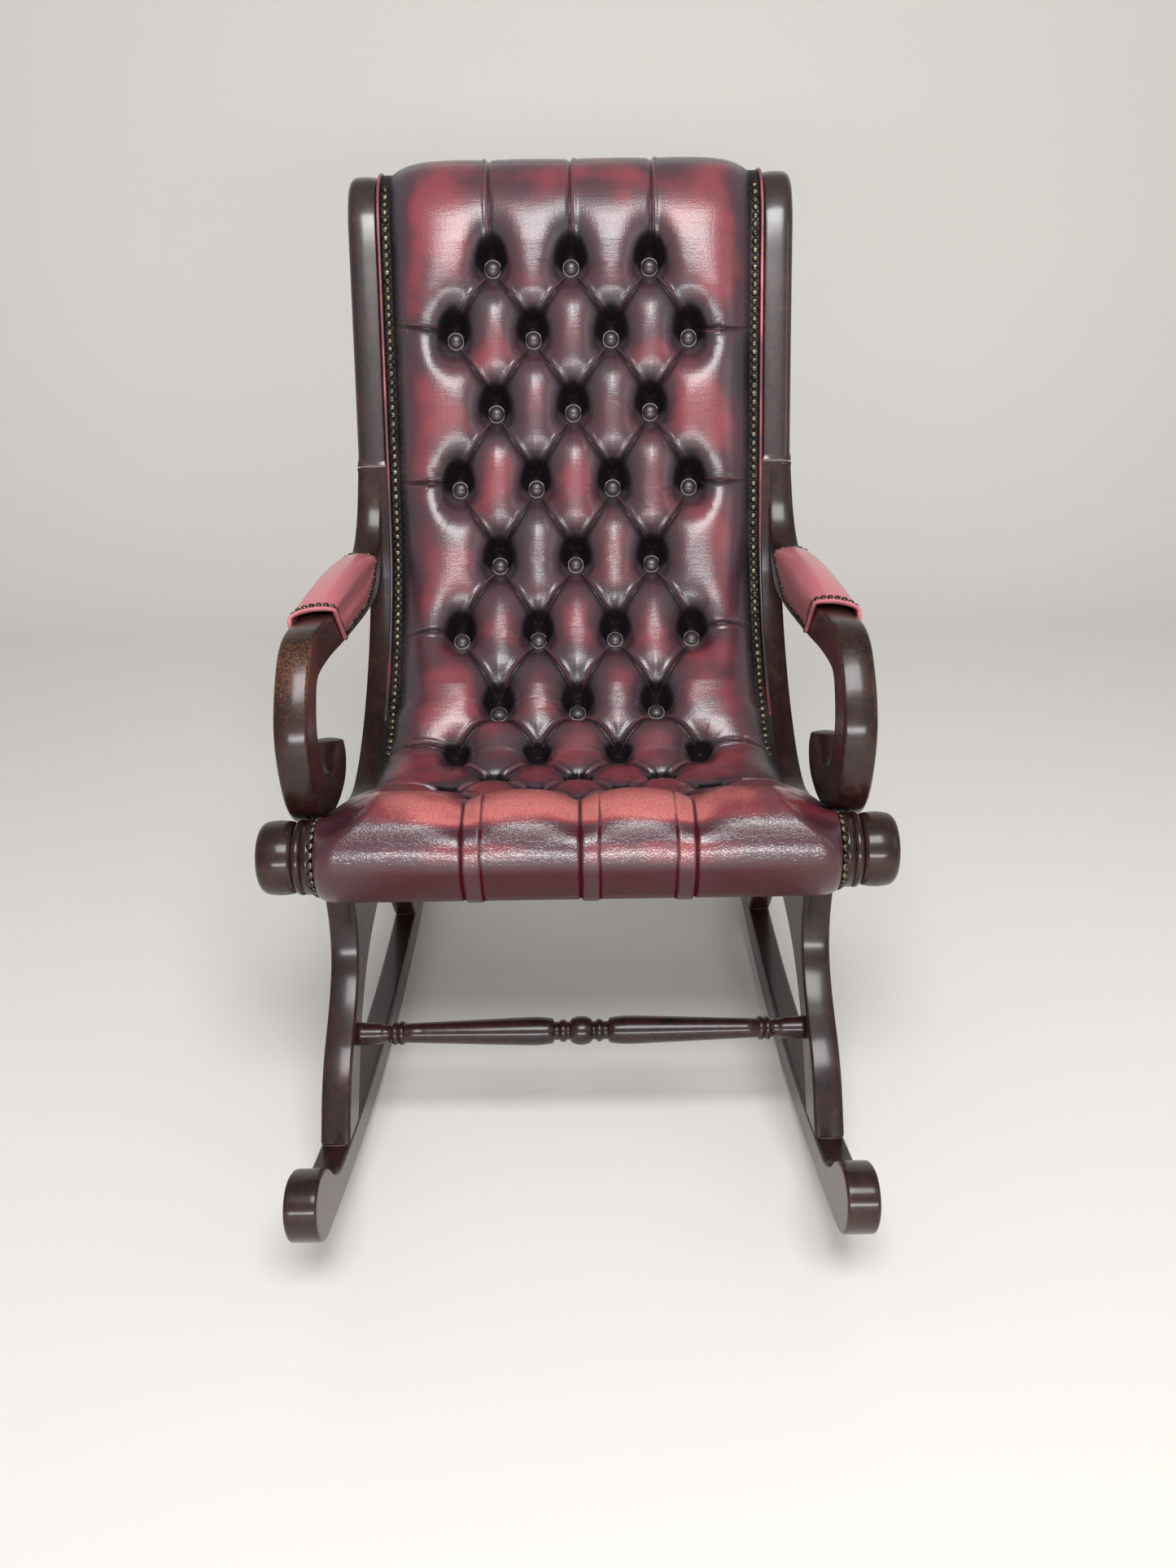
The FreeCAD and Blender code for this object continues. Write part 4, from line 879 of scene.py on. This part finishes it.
def outward(outline):
    """Mitred outward directions of an outline that runs anticlockwise."""
    edge = np.roll(outline, -1, 0) - outline
    edge /= np.linalg.norm(edge, axis=1)[:, None]
    normal = np.stack((edge[:, 1], -edge[:, 0]), -1)
    both = normal + np.roll(normal, 1, 0)
    both /= np.maximum(np.linalg.norm(both, axis=1), 1e-6)[:, None]
    return both / np.clip((both * normal).sum(1), 0.3, 1)[:, None]


def drawn_in(outline, normal, distance):
    """The outline drawn in by a distance; points that would cross at a sharp corner lie between their neighbours."""
    ring = outline - normal * distance[:, None]
    if distance.max() < 1e-4:
        return ring
    edge = np.roll(outline, -1, 0) - outline
    off = ring[:, None] - outline[None]
    t = np.clip((off * edge).sum(2) / (edge ** 2).sum(1), 0, 1)
    gap = np.linalg.norm(off - t[:, :, None] * edge, axis=2).min(1)
    good = np.flatnonzero(gap > 0.97 * distance)
    index = np.arange(len(ring))
    return np.stack([np.interp(index, good, ring[good, k], period=len(ring)) for k in (0, 1)], -1)


def rounded_board(node, level, side, step, radii, crown, material, joint=None, toed=False):
    """A board with rounded edges whose outline is that of a CAD node cut at a level; radii are (inner, outer).

    At the joint, a place (y, z) and the heading across it, the edges stay almost sharp."""
    solid = node_points(node)
    solid[:, 0] *= side
    if toed:
        solid[:, 0] -= arm_inner(solid[:, 1])
    inner, outer = (0.0, ARM_THICK) if toed else (solid[:, 0].min(), solid[:, 0].max())
    outline = even_outline(section_loop(solid, NODES[node].data, level), step)
    normal = outward(outline)
    soft = np.ones(len(outline))
    if joint:
        across = np.array((math.cos(math.radians(joint[2])), math.sin(math.radians(joint[2]))))
        soft -= 0.85 * smoothstep(0.006, 0.002, np.abs((outline - joint[:2]) @ across))
    # Sections across the board: the place in its thickness, how far the outline is drawn in, and how worn it is.
    edges = [(1 - math.cos(a), 1 - math.sin(a), 1 - a / 1.6) for a in np.linspace(0, math.pi / 2, 6)]
    sections = [(inner + radii[0] * c, radii[0] * s, worn) for c, s, worn in edges]
    sections += [(x, 0.0, 0.0) for x in np.linspace(inner + radii[0], outer - radii[1], 7)[1:-1]]
    sections += [(outer - radii[1] * c, radii[1] * s, worn) for c, s, worn in edges[::-1]]
    rings = []
    for x, inset, _ in sections:
        u = 2 * (x - inner) / (outer - inner) - 1
        ring = drawn_in(outline, normal, (inset + crown * u * u) * soft)
        aside = arm_inner(ring[:, 0]) + x * arm_thick(ring[:, 1]) / ARM_THICK if toed else np.full(len(ring), x)
        rings.append(np.column_stack((aside * side, ring)))
    points, faces = tube(rings, side > 0)
    piece = piece_from(f"{node}_wood", points, faces, material, (node,))
    rim = np.repeat([worn for _, _, worn in sections], len(outline))
    write_attribute(piece, "rim", rim)
    wear = 0.22 * rim
    if toed:
        patch = np.exp(-((points[:, 1] + 0.160) / 0.055) ** 2 - ((points[:, 2] - 0.535) / 0.060) ** 2)
        wear += (0.62 if side < 0 else 0.34) * patch
    write_attribute(piece, "wear", wear)
    smooth = np.ones(len(faces), bool)
    smooth[-2:] = False
    piece.data.polygons.foreach_set("use_smooth", smooth)


class CHAIR_OT_frame(Operator):
    """Makes the rockers, legs, posts and arms with rounded edges"""

    bl_idname = "chair.frame"
    bl_label = "Wooden frame"

    def execute(self, context):
        sizes = context.scene.chair_wood
        sharp, soft, crown = sizes.edge, sizes.soft_edge, sizes.crown
        for word, side in SIDES:
            arch = (node_points(f"{word}_front_leg")[:, 1].max(), 0.0, 0)
            for part, level, radii, swell, material, joint in (
                ("rocker", 0.2615, (sharp, sharp), 0.0, "wood along", None),
                ("front_leg", 0.2615, (sharp, sharp), crown / 2, "wood leg", arch),
                ("rear_leg", 0.2615, (sharp, sharp), crown / 2, "wood leg", arch),
                ("back_post", 0.2645, (sharp, soft), crown, "wood post", POST_SEAM),
                ("arm", 0.0038, (sharp, sharp + 0.001), crown, "wood along", POST_SEAM),
            ):
                rounded_board(f"{word}_{part}", level, side, sizes.step, radii, swell, material, joint, part == "arm")
        return {"FINISHED"}


def turned(node, segments=72):
    """A turned piece, lathed again from the profile of a CAD node whose axis runs along x."""
    solid = node_points(node)
    middle = (solid[:, 1:].max(0) + solid[:, 1:].min(0)) / 2
    radius = np.linalg.norm(solid[:, 1:] - middle, axis=1)
    pairs = np.unique(np.round(np.column_stack((solid[:, 0], radius)), 5), axis=0)
    first, last = pairs[0, 0], pairs[-1, 0]
    outline = [(first, 0.0)]
    for x in np.unique(pairs[:, 0]):
        found = pairs[pairs[:, 0] == x, 1]
        inner, outer = found.min(), found.max()
        stepped = outer - inner > 4e-4
        if stepped and x < (first + last) / 2 and outline[-1][1] < outer:
            outline += [(x, inner), (x, outer)] if outline[-1][1] <= inner + 1e-3 else [(x, outer)]
        elif stepped:
            outline += [(x, outer), (x, inner)]
        else:
            outline.append((x, outer))
    outline = np.array(outline + [(last, 0.0)])
    keep = np.append(True, np.linalg.norm(np.diff(outline, axis=0), axis=1) > 1e-5)
    body = outline[keep][1:-1]
    turn = np.linspace(0, 2 * math.pi, segments, endpoint=False)
    along, away = np.repeat(body[:, :1], segments, 1), body[:, 1:]
    rings = np.stack((along, middle[0] + away * np.cos(turn), middle[1] + away * np.sin(turn)), -1)
    piece_from(f"{node}_wood", *tube(rings, True), "wood across", (node,))


class CHAIR_OT_turned(Operator):
    """Makes the stretchers, roundels, collars and end discs"""

    bl_idname = "chair.turned"
    bl_label = "Turned wood"

    def execute(self, context):
        for node in ("front_stretcher", "rear_stretcher"):
            turned(node, 48)
        for word, _ in SIDES:
            for part in ("roundel", "collar", "roll_end"):
                turned(f"{word}_{part}")
        return {"FINISHED"}


def stud_nodes():
    """Geometry Nodes that set a dome on every point, turned to the point's facing, with small differences in size."""
    tree = bpy.data.node_groups.new("domes on points", "GeometryNodeTree")
    for name, kind, way in (
        ("Geometry", "Geometry", "INPUT"), ("Radius", "Float", "INPUT"), ("Height", "Float", "INPUT"),
        ("Segments", "Int", "INPUT"), ("Rings", "Int", "INPUT"), ("Seed", "Int", "INPUT"),
        ("Material", "Material", "INPUT"), ("Geometry", "Geometry", "OUTPUT"),
    ):
        tree.interface.new_socket(name, in_out=way, socket_type="NodeSocket" + kind)
    nodes = {name: tree.nodes.new(kind) for name, kind in (
        ("start", "NodeGroupInput"), ("end", "NodeGroupOutput"), ("dome", "GeometryNodeMeshUVSphere"),
        ("flatten", "GeometryNodeTransform"), ("size", "ShaderNodeCombineXYZ"),
        ("facing", "GeometryNodeInputNamedAttribute"), ("align", "FunctionNodeAlignRotationToVector"),
        ("spread", "FunctionNodeRandomValue"), ("smooth", "GeometryNodeSetShadeSmooth"),
        ("points", "GeometryNodeInstanceOnPoints"), ("real", "GeometryNodeRealizeInstances"),
        ("paint", "GeometryNodeSetMaterial"),
    )}
    nodes["facing"].data_type = "FLOAT_VECTOR"
    nodes["facing"].inputs["Name"].default_value = "facing"
    nodes["align"].axis = "Z"
    nodes["dome"].inputs["Radius"].default_value = 1.0
    smallest, largest = nodes["spread"].inputs[2:4]
    smallest.default_value, largest.default_value = 0.95, 1.04
    for source, output, target, socket in (
        ("start", "Segments", "dome", "Segments"), ("start", "Rings", "dome", "Rings"),
        ("start", "Radius", "size", "X"), ("start", "Radius", "size", "Y"), ("start", "Height", "size", "Z"),
        ("dome", "Mesh", "flatten", "Geometry"), ("size", "Vector", "flatten", "Scale"),
        ("flatten", "Geometry", "smooth", "Geometry"), ("facing", "Attribute", "align", "Vector"),
        ("start", "Seed", "spread", "Seed"), ("start", "Geometry", "points", "Points"),
        ("smooth", "Geometry", "points", "Instance"), ("align", "Rotation", "points", "Rotation"),
        ("spread", 1, "points", "Scale"), ("points", "Instances", "real", "Geometry"),
        ("real", "Geometry", "paint", "Geometry"), ("start", "Material", "paint", "Material"),
        ("paint", "Geometry", "end", "Geometry"),
    ):
        tree.links.new(nodes[source].outputs[output], nodes[target].inputs[socket])
    return tree


def studs(name, places, facing, settings, material, nodes=()):
    """Domes at places, realised to a plain mesh piece."""
    mesh = bpy.data.meshes.new(name + "_points")
    mesh.from_pydata([tuple(p) for p in places], [], [])
    layer = mesh.attributes.new("facing", "FLOAT_VECTOR", "POINT")
    layer.data.foreach_set("vector", np.asarray(facing, np.float32).ravel())
    source = bpy.data.objects.new(name + "_points", mesh)
    bpy.context.scene.collection.objects.link(source)
    tree = bpy.data.node_groups.get("domes on points") or stud_nodes()
    modifier = source.modifiers.new("domes", "NODES")
    modifier.node_group = tree
    values = {**settings, "Material": MATERIALS[material]}
    for item in tree.interface.items_tree:
        if item.in_out == "INPUT" and item.name in values:
            modifier[item.identifier] = values[item.name]
    graph = bpy.context.evaluated_depsgraph_get()
    made = bpy.data.meshes.new_from_object(source.evaluated_get(graph))
    bpy.data.objects.remove(source)
    made.name = name
    return settled(name, made, nodes)


class CHAIR_OT_studs(Operator):
    """Sets the brass nails and the covered buttons"""

    bl_idname = "chair.studs"
    bl_label = "Nails and buttons"

    def execute(self, context):
        trim = context.scene.chair_trim
        nail = {"Radius": trim.nail_radius, "Height": trim.nail_height, "Segments": 12, "Rings": 7, "Seed": trim.seed}
        first, last = 0.195, SHOULDER + 0.050
        at = np.linspace(first, last, round((last - first) / trim.nail_pitch) + 1)
        turn = np.linspace(0, 2 * math.pi, 24, endpoint=False)
        for word, side in SIDES:
            places = on_rail(np.full(len(at), side * trim.nail_line), at, 0.0014)
            studs(f"{word}_back_nail_heads", places, rail_facing(at), nail, "brass", (f"{word}_back_nails",))
            around = np.stack((np.full(len(turn), side), np.cos(turn), np.sin(turn)), -1)
            ring = np.array((0, *ROLL_AXIS)) + around * (0.2575, 0.0365, 0.0365)
            studs(f"{word}_roll_nail_heads", ring, around * (0.75, 1, 1), nail, "brass", (f"{word}_roll_nails",))
        button = {"Radius": trim.button_radius, "Height": 0.0066, "Segments": 26, "Rings": 12, "Seed": trim.seed}
        rim = {**button, "Radius": 1.10 * trim.button_radius, "Height": 0.0019}
        for part, rows in (("seat", pits()[:SEAT_ROWS]), ("back", pits()[SEAT_ROWS:])):
            x, at = np.array([(x, s) for row in rows for x, s, carries in row if carries]).T
            places, facing = on_rail(x, at, 0.0032), rail_facing(at)
            studs(f"{part}_button_domes", places, facing, button, "dark leather", (f"{part}_buttons",))
            studs(f"{part}_button_domes_rims", places + 0.0004 * facing, facing, rim, "button edge")
        return {"FINISHED"}


def behind(start, end, tail=()):
    """Places (y, z) behind the rail line, led on by the tail's control points, and their outward directions."""
    path = on_rail(0.0, np.linspace(start, end, 80), -COVER_DEPTH)[:, 1:]
    if tail:
        t = np.linspace(0, 1, 25)[1:, None]
        first, second, third, last = path[-1], *np.array(tail)
        curve = (1 - t) ** 3 * first + 3 * t * (1 - t) ** 2 * second + 3 * t * t * (1 - t) * third + t ** 3 * last
        path = np.vstack((path, curve))
    along = np.gradient(path, axis=0)
    along /= np.linalg.norm(along, axis=1)[:, None]
    return path, np.stack((along[:, 1], -along[:, 0]), -1)


class CHAIR_OT_covers(Operator):
    """Makes the welts, the leather behind the back and the cloth under the seat"""

    bl_idname = "chair.covers"
    bl_label = "Welts and covers"

    def execute(self, context):
        at = np.arange(0.262, RAIL_END, 0.005)
        turn = np.linspace(0, math.pi, 8)
        cord = np.stack((0.2297 + 0.0023 * np.cos(turn), 0.0015 + 0.0023 * np.sin(turn)), -1)
        section = np.vstack((cord, ((0.2274, -0.008), (0.2320, -0.008))))
        rubbed = 0.35 + 0.46 * smoothstep(0.35, 0.70, at)[:, None] * np.append(np.sin(turn) ** 3, (0, 0))
        for word, side in SIDES:
            rings = [on_rail(side * section[:, 0], s, section[:, 1]) for s in at]
            piece = piece_from(f"{word}_welt", *tube(rings, side > 0), "welt leather", (f"{word}_back_welt",))
            write_attribute(piece, "hollow", 0.95 - rubbed)
        crest = ((0.3735, 0.912), (0.390, 0.934), (0.4285, 0.9365))
        rear, under = (0.24, SHOULDER - 0.044, crest), (0.03, 0.20)
        for name, node, run, half, puff, material, rests in (
            ("rear_leather", "rear_cover", rear, 0.2275, 0.006, "dark leather", "back_webbing"),
            ("under_cloth", "bottom_cover", under, 0.2300, 0.002, "black cloth", "seat_webbing"),
        ):
            path, out = behind(*run)
            far = run_lengths(path)
            across = np.linspace(-1, 1, 60)
            swell = puff * (1 - across[None, :] ** 2) * (1 - (2 * far[:, None] / far[-1] - 1) ** 4)
            wide = np.broadcast_to(half * across[None, :, None], (*swell.shape, 1))
            sides = [
                np.concatenate((wide, path[:, None] + (swell - thick)[:, :, None] * out[:, None]), 2)
                for thick in (0.0, 0.002)
            ]
            points, faces = shell(*sides)
            piece = piece_from(name, points, faces[:, ::-1], material, (node,))
        return {"FINISHED"}


def pad_grid(side, rows, columns):
    """The leather of an arm pad, from the inner lower edge over the top to the outer lower edge."""
    t = np.linspace(0, 1, columns)[None, :]
    s = np.linspace(0, 1, rows)[:, None]
    first, last = PAD_CORNERS
    shares = (0, first, 0.5, last, 1)
    front = np.interp(t, shares, (-0.010, -0.046, -0.060, -0.078, -0.082))
    rear = np.interp(t, shares, (0.165, 0.180, 0.184, 0.180, 0.165))
    y = front + s * (rear - front)
    low = np.interp(y, (-0.02, 0.111, 0.139, 0.168, 0.182), (0.514, 0.513, 0.524, 0.537, 0.546))
    climb = np.clip(np.minimum(t, 1 - t) / first, 0, 1)
    over = np.clip((t - first) / (last - first), 0, 1) * math.pi
    rise = 0.006 + 0.0125 * np.clip(np.sin(math.pi * s), 0, 1) ** 0.55
    z = low + (0.553 - low) * climb + rise * np.sin(over) ** 0.75 * (climb >= 1)
    lip = 0.0016 + 0.0032 * smoothstep(0.1, 1.0, climb) * (0.4 + 0.6 * np.sin(math.pi * s) ** 0.5)
    middle = ARM_THICK / 2
    aside = np.where(t < first, -lip, np.where(t > last, ARM_THICK + lip, middle - (middle + lip) * np.cos(over)))
    return np.stack(np.broadcast_arrays(side * (arm_inner(y) + aside), y, z), -1)


def grid_normals(grid):
    """Directions straight out of a grid of points."""
    normal = np.cross(np.gradient(grid, axis=0), np.gradient(grid, axis=1))
    return normal / np.linalg.norm(normal, axis=2, keepdims=True)


class CHAIR_OT_pads(Operator):
    """Makes the leather arm pads with a rolled band in front and a nailed edge"""

    bl_idname = "chair.pads"
    bl_label = "Arm pads"

    def execute(self, context):
        trim = context.scene.chair_trim
        small = {"Radius": trim.pad_nail, "Height": 0.6 * trim.pad_nail, "Segments": 10, "Rings": 6, "Seed": trim.seed}
        turn = np.linspace(0, math.pi, 9)
        forward = np.array((0, 1.0, 0))
        for word, side in SIDES:
            over = pad_grid(side, 121, 61)
            held = np.zeros(over.shape[:2], bool)
            held[:, :8] = held[:, -8:] = True
            over = swollen(over, held, 4.0, 0.003)
            normal = grid_normals(over) * -side
            points, faces = shell(over, over - 0.0028 * normal)
            faces = faces[:, ::-1] if side > 0 else faces
            piece = piece_from(f"{word}_pad_leather", points, faces, "pad leather", (f"{word}_arm_pad",))
            rim = np.zeros(over.shape[:2])
            rim[:, :6] = rim[:, -6:] = rim[-7:] = 0.35
            write_attribute(piece, "hollow", np.concatenate((rim.ravel(), np.ones(rim.size))))
            band = (over[1][:, None] + 0.0042 * np.cos(turn)[None, :, None] * forward
                    + (0.0034 * np.sin(turn) - 0.001)[None, :, None] * normal[1][:, None])
            piece_from(f"{word}_pad_band", *tube(band, side < 0), "pad leather")
            spots, facing = [], []
            for line in ((4,), (-3,), (slice(6, -3), 2), (slice(6, -3), -3)):
                run = run_lengths(over[line])
                places = np.linspace(0, run[-1], round(run[-1] / (2.25 * trim.pad_nail)) + 1)
                for found, values in ((spots, over[line]), (facing, normal[line])):
                    found.append(np.stack([np.interp(places, run, values[:, i]) for i in range(3)], -1))
            studs(f"{word}_pad_nail_heads", np.concatenate(spots), np.concatenate(facing), small, "brass")
        return {"FINISHED"}


class CHAIR_OT_stage(Operator):
    """Sets the pale floor, the soft studio light and the camera"""

    bl_idname = "chair.stage"
    bl_label = "Stage"

    def execute(self, context):
        scene = context.scene
        near, far, tall, half, bend = -4.0, 2.6, 3.6, 6.0, 0.9
        turn = np.linspace(0, math.pi / 2, 16)
        line = [(near, 0.0), *zip(far - bend + bend * np.sin(turn), bend - bend * np.cos(turn)), (far, tall)]
        points = [(x, y, z) for y, z in line for x in (-half, half)]
        mesh = bpy.data.meshes.new("backdrop")
        mesh.from_pydata(points, [], [tuple(f) for f in grid_faces(len(line), 2)[:, ::-1]])
        mesh.shade_smooth()
        # A matt, slightly warm floor that keeps the picture pale.
        mesh.materials.append(Nodes("pale studio floor").finish(Base_Color=(*linear("#e8e5e0"), 1), Roughness=0.7))
        backdrop = bpy.data.objects.new("backdrop", mesh)
        scene.collection.objects.link(backdrop)
        for name, place, aim, size, power in (
            ("overhead", (0.15, -1.7, 2.6), (0, 0.1, 0.6), (1.6, 1.0), 66.0),
            ("window", (0.1, -3.2, 0.66), (0, 0.0, 0.50), (2.4, 0.30), 54.0),
            ("right", (2.3, -1.2, 1.5), (0, 0.1, 0.5), (1.0, 1.4), 5.0),
        ):
            light = bpy.data.lights.new(name, "AREA")
            light.energy, light.shape = power, "RECTANGLE"
            light.size, light.size_y = size
            lamp = bpy.data.objects.new(name, light)
            z = np.array(place) - np.array(aim)
            z /= np.linalg.norm(z)
            x = np.cross((0, 0.001, 1), z)
            x /= np.linalg.norm(x)
            turned_to = np.column_stack((x, np.cross(z, x), z, place))
            lamp.matrix_world = Matrix(np.vstack((turned_to, (0, 0, 0, 1))).tolist())
            scene.collection.objects.link(lamp)
        world = bpy.data.worlds.new("studio")
        world.use_nodes = True
        sky = world.node_tree.nodes["Background"].inputs
        sky["Color"].default_value = (*linear("#e4e4e6"), 1)
        sky["Strength"].default_value = 0.46
        scene.world = world
        scene.view_settings.view_transform = "Standard"
        camera = bpy.data.cameras.new("camera")
        camera.lens = 27.05
        viewer = bpy.data.objects.new("camera", camera)
        pitch, roll = math.radians(90 - 24.35), math.radians(-0.87)
        turn = Matrix.Rotation(pitch, 4, "X") @ Matrix.Rotation(roll, 4, "Z")
        viewer.matrix_world = Matrix.Translation((0.011, -1.23, 0.89)) @ turn
        scene.collection.objects.link(viewer)
        scene.camera = viewer
        return {"FINISHED"}


STEPS = (
    CHAIR_OT_materials, CHAIR_OT_leather, CHAIR_OT_roll, CHAIR_OT_frame, CHAIR_OT_turned, CHAIR_OT_studs,
    CHAIR_OT_covers, CHAIR_OT_pads, CHAIR_OT_stage,
)


class CHAIR_PT_panel(Panel):
    """Lists the chair's pieces and sizes"""

    bl_idname = "CHAIR_PT_panel"
    bl_label = "Rocking chair"
    bl_space_type = "VIEW_3D"
    bl_region_type = "UI"
    bl_category = "Chair"

    def draw(self, context):
        for step in STEPS:
            self.layout.operator(step.bl_idname)
        for group in ("leather", "roll", "wood", "trim", "colours"):
            settings = getattr(context.scene, "chair_" + group)
            box = self.layout.box()
            for name in settings.__annotations__:
                box.prop(settings, name)


GROUPS = {"leather": LeatherSizes, "roll": RollSizes, "wood": WoodSizes, "trim": TrimSizes, "colours": Colours}
CLASSES = (*GROUPS.values(), *STEPS, CHAIR_PT_panel)


def register():
    for cls in CLASSES:
        bpy.utils.register_class(cls)
    for name, group in GROUPS.items():
        setattr(bpy.types.Scene, "chair_" + name, PointerProperty(type=group))


def unregister():
    for name in GROUPS:
        delattr(bpy.types.Scene, "chair_" + name)
    for cls in reversed(CLASSES):
        bpy.utils.unregister_class(cls)


def main():
    register()
    for step in STEPS:
        group, name = step.bl_idname.split(".")
        getattr(getattr(bpy.ops, group), name)()


if __name__ == "__main__":
    main()
